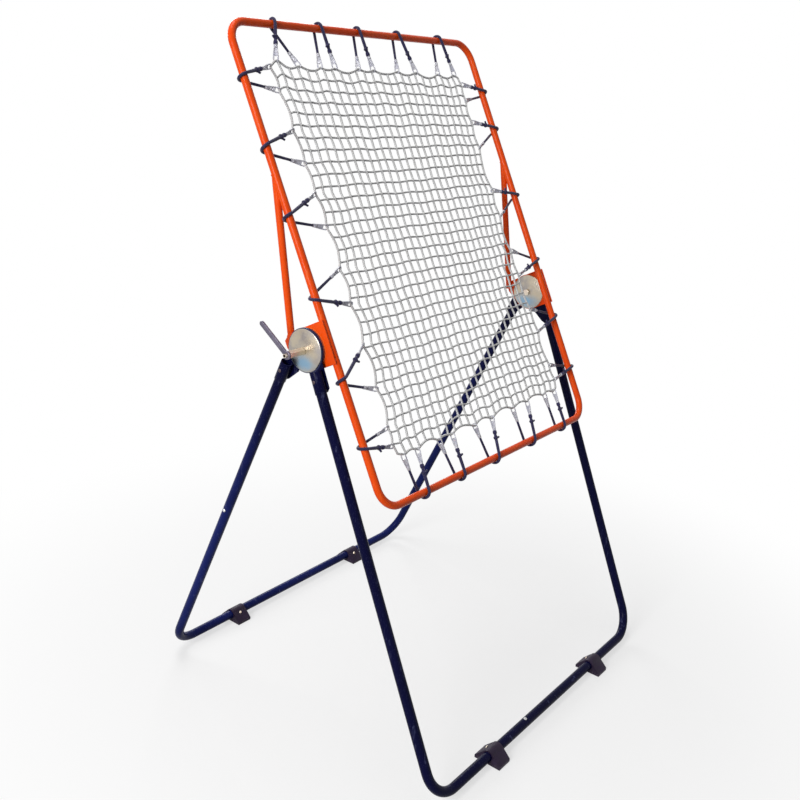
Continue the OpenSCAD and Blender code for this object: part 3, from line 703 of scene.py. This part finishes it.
print("net", round(2 * NET_SIDE, 3), "by", round(NET_TOP - NET_LOW, 3), "m")

# %% [markdown]
# ## The net
# A knotted net of twine about five millimetres thick, with twenty-five by thirty-two gaps. Between
# two hooks its edge is slack and curves inwards, and that curve fades over the first few rows.
# A grid of straight lines would look printed, so each line is drawn through points that follow
# the edges and wander by a millimetre or so. The twine swells to a knot at every crossing, and
# since there are hundreds of them the knot is only a change of radius along the cord.

# %% Net points
COLS = 25
ROWS = 32
SLACK = 0.12
FADE = 0.35
CORNER_SLOPE = 0.35
CORNER_HOOK = -0.358
CORNER_RISE = 0.012
CORNER_WIDE = 0.022
FINE_STRAY = 0.0011
BROAD_STRAY = 0.0016

# How fast the fine and the broad stray run, in radians to a column and to a row.
STRAY_X = ((0.8, 1.9), (-0.31, 0.43))
STRAY_Z = ((1.7, -0.9), (0.39, 0.27))


def slack(held, place):
    """How far the edge hangs inwards at a place between two hooks."""
    if place <= held[0]:
        return CORNER_SLOPE * (held[0] - place)
    if place >= held[-1]:
        return CORNER_SLOPE * (place - held[-1])
    start, end = next((a, b) for a, b in zip(held, held[1:]) if a <= place <= b)
    gap = end - start
    return SLACK * gap * 4 * (place - start) * (end - place) / gap**2


left_held = hooks_of(LEFT_CORDS)
right_held = hooks_of(RIGHT_CORDS)
top_held = hooks_of(TOP_CORDS)
low_held = hooks_of(LOW_CORDS)


def top_edge(across):
    """The top edge's hooks are level, but the one in the left corner pulls higher."""
    return NET_TOP + CORNER_RISE * math.exp(-(((across - CORNER_HOOK) / CORNER_WIDE) ** 2))


def stray(paces, col, row):
    """How far a point of the net wanders: one fine wave and one broad wave."""
    fine, broad = [math.sin(by_col * col + by_row * row) for by_col, by_row in paces]
    return FINE_STRAY * fine + BROAD_STRAY * broad


def net_spot(col, row):
    """A point of the net's layout, at fractions of its columns and rows."""
    height = NET_LOW + (NET_TOP - NET_LOW) * (row / ROWS)
    across = half_width(height) * (2 * (col / COLS) - 1)
    x = across + stray(STRAY_X, col, row)
    x += slack(left_held, height) * math.exp(-FADE * col)
    x -= slack(right_held, height) * math.exp(-FADE * (COLS - col))
    z = height + stray(STRAY_Z, col, row)
    z += slack(low_held, across) * math.exp(-FADE * row)
    z += (top_edge(across) - NET_TOP - slack(top_held, across)) * math.exp(-FADE * (ROWS - row))
    return Vector((x, 0.0, z))


for col, row in ((0, ROWS), (COLS, 0)):
    print("net corner", [round(v, 3) for v in net_spot(col, row)])

# %% Net cords
UPRIGHT_R = 0.0028
CROSSING_R = 0.0025
KNOT_R = 0.0038
KNOT_SHARE = 0.10
EDGE_R = 0.0029
EDGE_STEPS = 3


def net_line(spot_at, cells, radius):
    """One line of twine through a number of cells, with a knot at each corner inside the edge."""
    within = ((0.0, KNOT_R), (KNOT_SHARE, radius), (0.5, radius), (1 - KNOT_SHARE, radius))
    line = [(spot_at(cell + share), size) for cell in range(cells) for share, size in within]
    line[0] = (line[0][0], radius)
    line.append((spot_at(cells), radius))
    return [(tilted @ spot, size) for spot, size in line]


uprights = [
    net_line(lambda row, col=col: net_spot(col, row), ROWS, UPRIGHT_R) for col in range(1, COLS)
]
crossings = [
    net_line(lambda col, row=row: net_spot(col, row), COLS, CROSSING_R) for row in range(1, ROWS)
]
along_cols = [step / EDGE_STEPS for step in range(EDGE_STEPS * COLS)]
along_rows = [step / EDGE_STEPS for step in range(EDGE_STEPS * ROWS)]
rim = [net_spot(col, 0) for col in along_cols]
rim += [net_spot(COLS, row) for row in along_rows]
rim += [net_spot(COLS - col, ROWS) for col in along_cols]
rim += [net_spot(0, ROWS - row) for row in along_rows]
edge = [[(tilted @ spot, EDGE_R) for spot in rim]]
net_parts = [swept("net_uprights", uprights), swept("net_crossings", crossings)]
net_parts.append(swept("net_edge", edge, closed=True))
net = hand_over(joined("net_twine", net_parts), "net_frame", "net_cord", ["net"])
print("net", len(net.data.polygons), "faces")

# %% [markdown]
# ## The elastic cords
# Twenty-two short cords stretch the net. Each one goes from a hook on the net's edge to the tube,
# over the tube's outer side, and back to a second hook a hand's width further on. In front each
# cord ends in a knot with a short tail and a crimped bead, and behind it runs thin into its hook.
# The route is worked out as a tangent to a circle round the tube, because a cord under tension
# leaves a tube exactly there.

# %% Cord routes
CORD_R = 0.0037
CORD_GAP = 0.0002
SWELL = 0.0005
WRAP_R = TUBE_R + CORD_GAP + CORD_R
HOOK_LEN = 0.037
STRAIGHT_STEPS = 5
WRAP_STEPS = 16
ACROSS = Vector((1.0, 0.0, 0.0))
BACK = Vector((0.0, 1.0, 0.0))
UPWARD = Vector((0.0, 0.0, 1.0))

# Each side's cords, a point of its tube, the way out from the net and the way along the tube.
SIDES = {
    "top": (TOP_CORDS, TOP_Z * UPWARD, UPWARD, ACROSS),
    "bottom": (LOW_CORDS, LOW_Z * UPWARD, -UPWARD, ACROSS),
    "left": (LEFT_CORDS, -SIDE_X * ACROSS, -ACROSS, UPWARD),
    "right": (RIGHT_CORDS, SIDE_X * ACROSS, ACROSS, UPWARD),
}


def net_edge_at(side, place):
    """The point of the net's edge that a hook holds."""
    if side == "top":
        return Vector((place, 0.0, top_edge(place)))
    if side == "bottom":
        return Vector((place, 0.0, NET_LOW))
    sign = -1 if side == "left" else 1
    return Vector((sign * half_width(place), 0.0, place))


def strand(side, tube_at, net_at, facing):
    """One straight end: its hook's point, where it touches the tube, and the angle there."""
    _, axis, out, along = SIDES[side]
    hold = net_edge_at(side, net_at)
    reach = (axis - hold).dot(out)
    lean = math.asin(WRAP_R / reach)
    touch = axis + along * tube_at - out * WRAP_R * math.sin(lean)
    touch += BACK * facing * WRAP_R * math.cos(lean)
    return hold, touch, lean


def cord_route(side, cord):
    """All points of one elastic cord, from the front hook over the tube to the back hook."""
    _, axis, out, along = SIDES[side]
    front_tube, front_net, back_tube, back_net = [place / 1000 for place in cord]
    front, first, lean_in = strand(side, front_tube, front_net, -1)
    back, last, lean_out = strand(side, back_tube, back_net, 1)
    start = front + (first - front).normalized() * HOOK_LEN
    end = back + (last - back).normalized() * HOOK_LEN
    straight = [k / STRAIGHT_STEPS for k in range(STRAIGHT_STEPS + 1)]
    spots = [(start.lerp(first, s), CORD_R + SWELL * math.sin(math.pi * s)) for s in straight[:-1]]
    low = -math.pi / 2 - lean_in
    high = math.pi / 2 + lean_out
    for k in range(WRAP_STEPS + 1):
        share = k / WRAP_STEPS
        angle = low + (high - low) * share
        bend = out * WRAP_R * math.cos(angle) + BACK * WRAP_R * math.sin(angle)
        shift = along * (front_tube + (back_tube - front_tube) * share)
        spots.append((axis + bend + shift, CORD_R))
    spots += [(last.lerp(end, s), CORD_R - SWELL * s) for s in straight[1:]]
    return [(tilted @ spot, size) for spot, size in spots], (front, first), (back, last)


def length_of(line):
    return sum((there - here).length for (here, _), (there, _) in zip(line, line[1:]))


routes = {side: [cord_route(side, cord) for cord in SIDES[side][0]] for side in SIDES}
for side, side_routes in routes.items():
    lengths = [round(1000 * length_of(line)) for line, *_ in side_routes]
    print(side, "cords", lengths, "mm between hooks")

# %% Knot and bead
# Each turn of the knot: its radius, the cord's radius and how it is turned.
KNOT_TURNS = [(0.0039, 0.0029, (0.0, 1.35, 0.3)), (0.0037, 0.0028, (0.5, 1.9, -0.5))]
TAIL_R = 0.0027
TAIL_WAY = [(0.0, 0.0, 0.0), (0.0005, -0.001, 0.0045)]
TAIL_WAY += [(-0.001, -0.002, 0.0075), (-0.003, -0.003, 0.0105)]
BEAD_HALF = [(0.0, 0.0056), (0.0040, 0.0052), (0.0050, 0.0040), (0.0050, 0.0)]


def torus(major, minor, turn):
    bpy.ops.mesh.primitive_torus_add(
        major_radius=major, minor_radius=minor, major_segments=20, minor_segments=10, rotation=turn
    )
    ring = bpy.context.object
    bpy.ops.object.transform_apply(location=True, rotation=True, scale=True)
    for corner in ring.data.uv_layers[0].data:
        corner.uv = (corner.uv.y, corner.uv.x * 2 * math.pi * major)
    bpy.ops.object.shade_smooth()
    return ring


knot_parts = [torus(*turn) for turn in KNOT_TURNS]
knot_parts.append(swept("cord_tail", [[(Vector(spot), TAIL_R) for spot in TAIL_WAY]]))
knot = joined("cord_knot", knot_parts)
bead_outline = [(-along, radius) for along, radius in reversed(BEAD_HALF[1:])] + BEAD_HALF
bead = turned("cord_bead", bead_outline, steps=14)
smooth(bead, degrees=50)
print("knot", len(knot.data.polygons), "faces, bead", len(bead.data.polygons), "faces")

# %% Elastic cords
KNOT_AT = 0.056
BEAD_AT = 0.041


def frame_at(spot, ahead_way, beside):
    """A matrix that puts a piece's X axis along ahead_way, with Y as near to beside as can be."""
    first = ahead_way.normalized()
    third = first.cross(beside).normalized()
    second = third.cross(first)
    return Matrix.Translation(spot) @ Matrix((first, second, third)).transposed().to_4x4()


for side, side_routes in routes.items():
    parts = []
    for line, (hold, touch), _ in side_routes:
        way = (touch - hold).normalized()
        parts.append(swept("cord", [line], fineness=3))
        parts.append(copy_of(knot, tilted @ frame_at(hold + way * KNOT_AT, way, BACK)))
        parts.append(copy_of(bead, tilted @ frame_at(hold + way * BEAD_AT, way, BACK)))
    cords = joined(f"{side}_elastic_cords", parts)
    hand_over(cords, "net_frame", "bungee_cord", [f"{side}_bungees"])
    print(side, len(side_routes), "cords,", len(cords.data.polygons), "faces")
put_away(knot)
put_away(bead)

# %% [markdown]
# ## The clear hooks
# Between each cord and the net sits a clear plastic hook: a narrow loop that widens towards the
# net and takes its edge in a round bow, with a thin web between its two limbs and a short barrel
# in which the cord is fixed. One hook is swept and turned at the origin, with the cord's
# direction along X, and then copied to all forty-four places.

# %% One hook
WIRE_R = 0.0017
BOW_R = 0.0054
LIMB = [(0.032, 0.0029), (0.024, 0.0038), (0.015, 0.0047), (0.007, 0.0053)]
BARREL_OUTLINE = [(0.0285, 0.0), (0.0285, 0.0032), (0.0300, 0.0042), (0.0330, 0.0045)]
BARREL_OUTLINE += [(0.0375, 0.0045), (0.0388, 0.0041), (0.0388, 0.0)]
WEB_THICK = 0.0016

# Where the web starts and ends along the hook, with half of its width there.
WEB_ENDS = ((0.009, 0.0051), (0.031, 0.0031))

arc = [math.radians(degrees) for degrees in range(90, 181, 18)]
bow = LIMB + [(BOW_R * math.cos(angle), BOW_R * math.sin(angle)) for angle in arc]
bow += [(x, -y) for x, y in reversed(bow[:-1])]
loop = swept("hook_loop", [[(Vector((x, y, 0.0)), WIRE_R) for x, y in bow]])
barrel = turned("hook_barrel", BARREL_OUTLINE, steps=12)
smooth(barrel, degrees=50)
bpy.ops.mesh.primitive_cube_add(size=2.0)
web = bpy.context.object
for point in web.data.vertices:
    place, half = WEB_ENDS[point.co.x > 0]
    point.co = (place, point.co.y * half, point.co.z * WEB_THICK / 2)
hook = joined("clear_hook", [loop, barrel, web])
print("one hook", len(hook.data.polygons), "faces")

# %% All hooks
SIDEWAYS = 0.8
FORWARDS = 0.6

for side, side_routes in routes.items():
    beside = SIDES[side][3] * SIDEWAYS - BACK * FORWARDS
    parts = []
    for _, *ends in side_routes:
        for hold, touch in ends:
            parts.append(copy_of(hook, tilted @ frame_at(hold, touch - hold, beside)))
    hooks = joined(f"{side}_clear_hooks", parts)
    hand_over(hooks, "net_frame", "hook_plastic", [f"{side}_hooks"])
    print(side, len(parts), "hooks")
put_away(hook)

# %% [markdown]
# ## Rounded plates, feet and small hardware
# Pressed steel and moulded rubber never have razor edges: a rounded edge catches a thin line of
# light, and that line is what makes a plate look like metal. Each of these pieces already has
# the right shape, so a copy of its mesh is merged, its flat triangles are dissolved into whole
# faces, and a Bevel modifier rounds every edge that is sharper than its angle limit. The screws
# in the feet also get the cross for a driver, which is cut into their heads with two thin bars.

# %% Round the edges
CORNERS = ("front_left", "front_right", "rear_left", "rear_right")
FLAT_DEGREES = 1.0
SHARP_DEGREES = 32.0

# Each kind's radius in metres, the steps of its round and its nodes.
SOFT_EDGES = {
    "bracket": (0.0007, 2, [f"{corner}_bracket" for corner in CORNERS]),
    "pivot_plate": (0.0007, 2, ["left_pivot_plate", "right_pivot_plate"]),
    "foot": (0.0022, 3, [f"{corner}_foot" for corner in CORNERS]),
    "lever": (0.0012, 3, ["left_lever", "right_lever"]),
    "rivets": (0.0010, 3, ["front_bracket_rivets", "rear_bracket_rivets"]),
    "screws": (0.0006, 2, ["front_foot_screws", "rear_foot_screws"]),
    "button": (0.0010, 3, ["front_rail_button", "rear_left_button", "rear_right_button"]),
}


def merged_copy(name, node):
    """A copy of a node's mesh with its triangles merged into whole flat faces."""
    piece = bpy.data.objects.new(name, nodes[node].data.copy())
    bpy.context.collection.objects.link(piece)
    pick(piece)
    bpy.ops.mesh.customdata_custom_splitnormals_clear()
    bpy.ops.object.mode_set(mode="EDIT")
    bpy.ops.mesh.select_all(action="SELECT")
    bpy.ops.mesh.remove_doubles(threshold=MERGE_GAP)
    bpy.ops.mesh.dissolve_limited(angle_limit=math.radians(FLAT_DEGREES))
    bpy.ops.object.mode_set(mode="OBJECT")
    return piece


def rounded(name, node, width, segments):
    piece = merged_copy(name, node)
    edge_round = piece.modifiers.new("edge_round", "BEVEL")
    edge_round.width = width
    edge_round.segments = segments
    edge_round.limit_method = "ANGLE"
    edge_round.angle_limit = math.radians(SHARP_DEGREES)
    apply_all(piece)
    smooth(piece, degrees=40)
    return piece


print("kinds to round:", ", ".join(SOFT_EDGES))

# %% Screw heads and rounded pieces
RAIL_Z = 0.022
SCREW_TOP = 0.0211
SCREW_RISE = math.radians(15.0)
CROSS_LEN = 0.0054
CROSS_WIDE = 0.0012
CROSS_DEEP = 0.0018
CROSS_TURN = 0.3


def cross_recess(piece, foot, facing):
    """Cut the cross for the driver into the head of the screw in one foot."""
    low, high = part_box(foot)
    axis = Vector(((low.x + high.x) / 2, (low.y + high.y) / 2, RAIL_Z))
    way = Vector((0.0, facing * math.cos(SCREW_RISE), math.sin(SCREW_RISE)))
    for turn in (CROSS_TURN, CROSS_TURN + math.pi / 2):
        bpy.ops.mesh.primitive_cube_add(size=1.0)
        bar = bpy.context.object
        bar.data.transform(Matrix.Diagonal((2 * CROSS_DEEP, CROSS_LEN, CROSS_WIDE, 1.0)))
        bar.data.transform(Matrix.Rotation(turn, 4, "X"))
        bar.data.transform(frame_at(axis + way * SCREW_TOP, way, ACROSS))
        combine(piece, bar, "DIFFERENCE")


bodies = frame["record"]["behaviour"]["bodies"]
body_of = {node: body for body, held in bodies.items() for node in held}
for kind, (width, segments, names) in SOFT_EDGES.items():
    for node in names:
        piece = rounded(f"{node}_rounded", node, width, segments)
        if kind == "screws":
            leg = node.split("_")[0]
            for side in ("left", "right"):
                cross_recess(piece, f"{leg}_{side}_foot", 1 if leg == "front" else -1)
        if kind == "lever":
            drop_slivers(piece)
        hand_over(piece, body_of[node], slot_of[node], [node])
    print(kind, "edges rounded to", 1000 * width, "mm on", len(names))

# %% [markdown]
# ## The clamp discs
# Each pivot is squeezed between two domed steel discs. They are pressed from sheet, so the dome
# has one even thickness, a small rolled rim, and a flat land where the nut or the bolt head sits.
# The cross-section is drawn as one closed loop and spun round the pivot's axis.

# %% Spin the discs
SHEET = 0.0015
DOME_SHARES = (0.965, 0.92, 0.85, 0.76, 0.66, 0.55, 0.44, 0.33, 0.24)
BORE_R = 0.0050
LAND_R = 0.0105
RIM_ROUND = 0.0007
MIRROR = {"left": -1, "right": 1}

# The rolled rim's points: shares of the sheet's thickness, and how far inside the disc's radius.
RIM = ((0.25, 0.0002), (0.75, 0.0), (1.15, RIM_ROUND))


def disc(name, rim, apex):
    """A domed disc between two places along X: its rim's inner face and its apex."""
    sign = 1 if apex > rim else -1
    rise = abs(apex - rim) - SHEET
    land = rise * (1 - (LAND_R / DISC_R) ** 2)
    outer = [(SHEET * share, DISC_R - inset) for share, inset in RIM]
    outer += [(SHEET + rise * (1 - k * k), k * DISC_R) for k in DOME_SHARES]
    outer += [(SHEET + land, LAND_R), (SHEET + land, BORE_R)]
    inner = [(land, BORE_R), (land, LAND_R)]
    inner += [(rise * (1 - k * k), k * DISC_R) for k in reversed(DOME_SHARES)]
    inner.append((0.0, DISC_R - RIM_ROUND))
    outline = [(rim + sign * x, r) for x, r in outer + inner]
    piece = turned(name, outline, PIVOT, steps=72)
    smooth(piece, degrees=40)
    return piece


for side, sign in MIRROR.items():
    for face in ("outer", "inner"):
        node = f"{side}_{face}_disc"
        low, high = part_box(node)
        ends = sorted((abs(low.x), abs(high.x)))
        rim, apex = ends if face == "outer" else reversed(ends)
        piece = disc(f"{node}_spun", sign * rim, sign * apex)
        hand_over(piece, body_of[node], "zinc", [node])
        print(node, "from", round(sign * rim, 4), "to", round(sign * apex, 4))

# %% [markdown]
# ## Nuts and bolts
# The long nut on each pivot and the head of each bolt are hexagons with turned ends: a lathe cuts
# the corners to a cone, which leaves the curved chamfer lines that every nut shows. The same cut
# is made here, as a Boolean intersection with a turned barrel. The bolt's free end gets thread
# ridges, spun from a zigzag outline.

# %% Chamfer the nuts
NUT_CUT = 0.0016
CONE_SLOPE = 0.55
BARREL_SPARE = 0.0004


def barrel_cut(piece, start, end, radius, cut):
    """Keep only what lies inside a turned barrel with both ends cut to a cone."""
    cone = cut * CONE_SLOPE
    wide = radius + BARREL_SPARE
    outline = [(start, 0.0), (start, radius - cut), (start + cone, wide)]
    outline += [(end - cone, wide), (end, radius - cut), (end, 0.0)]
    combine(piece, turned("barrel_tool", outline, PIVOT, steps=64), "INTERSECT")
    drop_slivers(piece)


for side in MIRROR:
    node = f"{side}_clamp_nut"
    low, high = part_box(node)
    nut = merged_copy(f"{node}_chamfered", node)
    barrel_cut(nut, low.x, high.x, max(high.z - PIVOT_Z, high.y), NUT_CUT)
    smooth(nut, degrees=30)
    hand_over(nut, body_of[node], "yellow_zinc", [node])
    print(node, len(nut.data.polygons), "faces")

# %% Bolts
HEAD_CUT = 0.0014
BEYOND_TIP = 0.02
THREAD_LEN = 0.012
THREAD_TURNS = 7
THREAD_PITCH = 0.0015
CREST_R = 0.00485
ROOT_R = 0.00405
TIP_R = 0.00355

for side, sign in MIRROR.items():
    node = f"{side}_pivot_bolt"
    low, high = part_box(node)
    head, tip = sorted((abs(low.x), abs(high.x)))
    bolt = merged_copy(f"{node}_threaded", node)
    radius = max(high.z - PIVOT_Z, high.y)
    barrel_cut(bolt, sign * head, sign * (tip + BEYOND_TIP), radius, HEAD_CUT)
    thread = [(tip - THREAD_LEN, 0.0), (tip - THREAD_LEN, ROOT_R)]
    for turn in range(THREAD_TURNS):
        start = tip - THREAD_LEN + turn * THREAD_PITCH
        thread += [(start + THREAD_PITCH / 2, CREST_R), (start + THREAD_PITCH, ROOT_R)]
    thread += [(tip, TIP_R), (tip, 0.0)]
    ridges = turned("thread", [(sign * x, r) for x, r in thread], PIVOT, steps=32)
    bolt = joined(bolt.name, [bolt, ridges])
    smooth(bolt, degrees=25)
    hand_over(bolt, body_of[node], slot_of[node], [node])
    print(node, "ends at", round(sign * tip, 4))

# %% [markdown]
# ## Weld beads
# The brackets, plates and braces are welded, and a weld leaves a rippled bead along the joint.
# A bead is swept like a cord: points every millimetre along the joint, with a radius that swells
# and shrinks a little. Where a brace runs into a side tube at a shallow angle the joint is a long
# oval, so its points are solved: for each direction round the brace, how far along it the tube's
# surface lies.

# %% Bead along a line
BEAD_STEP = 0.0011
RIPPLE = 0.0026
RIPPLE_SHARE = 0.13
END_SHARE = 0.45
END_STEPS = 4


def bead_line(points, radius):
    """A rippled weld bead through points, which are first resampled to about a millimetre."""
    fine = []
    for a, b in zip(points, points[1:]):
        count = max(1, round((b - a).length / BEAD_STEP))
        fine += [a.lerp(b, k / count) for k in range(count)]
    fine.append(points[-1])
    walked = 0.0
    line = []
    for k, spot in enumerate(fine):
        walked += (spot - fine[k - 1]).length if k else 0.0
        nearest_end = min(k, len(fine) - 1 - k)
        taper = min(1.0, END_SHARE + nearest_end / END_STEPS)
        ripple = 1 + RIPPLE_SHARE * math.sin(2 * math.pi * walked / RIPPLE)
        line.append((spot, radius * taper * ripple))
    return line


print("bead ripple", 1000 * RIPPLE, "mm")

# %% Beads on the net frame
PLATE_X = SIDE_X + TUBE_R
PLATE_HALF = 0.049
PLATE_BEAD_R = 0.0021
PLATE_BEAD_X = PLATE_X - 0.0022
PLATE_BEAD_Y = 0.0064
BRACE_R = 0.00875
BRACE_X = PLATE_X - BRACE_R
BRACE_LOW = Vector((BRACE_X, 0.117, 0.030))
BRACE_HIGH = Vector((BRACE_X, 0.0, 0.400))
BRACE_BEAD_R = 0.0015
JOINT_GAP = 0.0002
JOINT_STEPS = 40
EAR_TOP = 0.048
EAR_BEAD_R = 0.0017
EAR_BEAD_OUT = 0.77 * BRACE_R
EAR_BEAD_SIDE = 0.0056

brace_way = (BRACE_HIGH - BRACE_LOW).normalized()
brace_side = ACROSS.cross(brace_way)


def brace_joint():
    """The oval where a brace's surface meets the side tube's rear."""
    oval = []
    for k in range(JOINT_STEPS + 1):
        angle = 2 * math.pi * k / JOINT_STEPS
        ray = BRACE_LOW + ACROSS * BRACE_R * math.cos(angle)
        ray += brace_side * BRACE_R * math.sin(angle)
        depth = math.sqrt(max(0.0, (TUBE_R + JOINT_GAP) ** 2 - (ray.x - SIDE_X) ** 2))
        oval.append(ray + brace_way * ((depth - ray.y) / brace_way.y))
    return oval


def frame_beads():
    """All beads of the right side, in the flat layout."""
    beads = []
    for y in (-PLATE_BEAD_Y, PLATE_BEAD_Y):
        ends = [Vector((PLATE_BEAD_X, y, z)) for z in (-PLATE_HALF, PLATE_HALF)]
        beads.append(bead_line(ends, PLATE_BEAD_R))
    beads.append(bead_line(brace_joint(), BRACE_BEAD_R))
    run = brace_way * ((EAR_TOP - BRACE_LOW.z) / brace_way.z)
    for offset in (-EAR_BEAD_SIDE, EAR_BEAD_SIDE):
        start = BRACE_LOW + brace_side * offset + ACROSS * EAR_BEAD_OUT
        beads.append(bead_line([start, start + run], EAR_BEAD_R))
    return beads


for side, sign in MIRROR.items():
    mirrored = tilted @ Matrix.Diagonal((sign, 1.0, 1.0, 1.0))
    lines = [[(mirrored @ spot, size) for spot, size in line] for line in frame_beads()]
    beads = swept(f"{side}_frame_welds", lines)
    hand_over(beads, "net_frame", "orange_paint")
    print(side, "frame welds", len(beads.data.polygons), "faces")

# %% Beads on the leg brackets
LEG_ANGLE = math.radians(24.0)
POST_IN = 0.028
SLEEVE_FROM = 0.053
SLEEVE_TO = 0.104
SLEEVE_BEAD_R = 0.0019
SLEEVE_BEAD_Y = 0.0066
BEAD_OUT = 0.0013
DISC_GAP = 0.00015
BRACKET_STEP = 0.0048

# On each pivot one leg's bracket lies under the other's, a bracket and a friction disc further in.
UNDER = (("front", "right"), ("rear", "left"))

for leg, swing in (("front", -1), ("rear", 1)):
    lean = Matrix.Translation(PIVOT) @ Matrix.Rotation(swing * LEG_ANGLE, 4, "X")
    lines = []
    for side, sign in MIRROR.items():
        low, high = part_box(f"{side}_outer_disc")
        face = min(abs(low.x), abs(high.x)) - DISC_GAP
        if (leg, side) in UNDER:
            face -= BRACKET_STEP
        x = sign * (face + BEAD_OUT)
        for offset in (-SLEEVE_BEAD_Y, SLEEVE_BEAD_Y):
            y = swing * POST_IN + offset
            run = [lean @ Vector((x, y, -place)) for place in (SLEEVE_FROM, SLEEVE_TO)]
            lines.append(bead_line(run, SLEEVE_BEAD_R))
    beads = swept(f"{leg}_bracket_welds", lines)
    hand_over(beads, f"{leg}_leg", "navy_paint")
    print(leg, "bracket welds", len(beads.data.polygons), "faces")
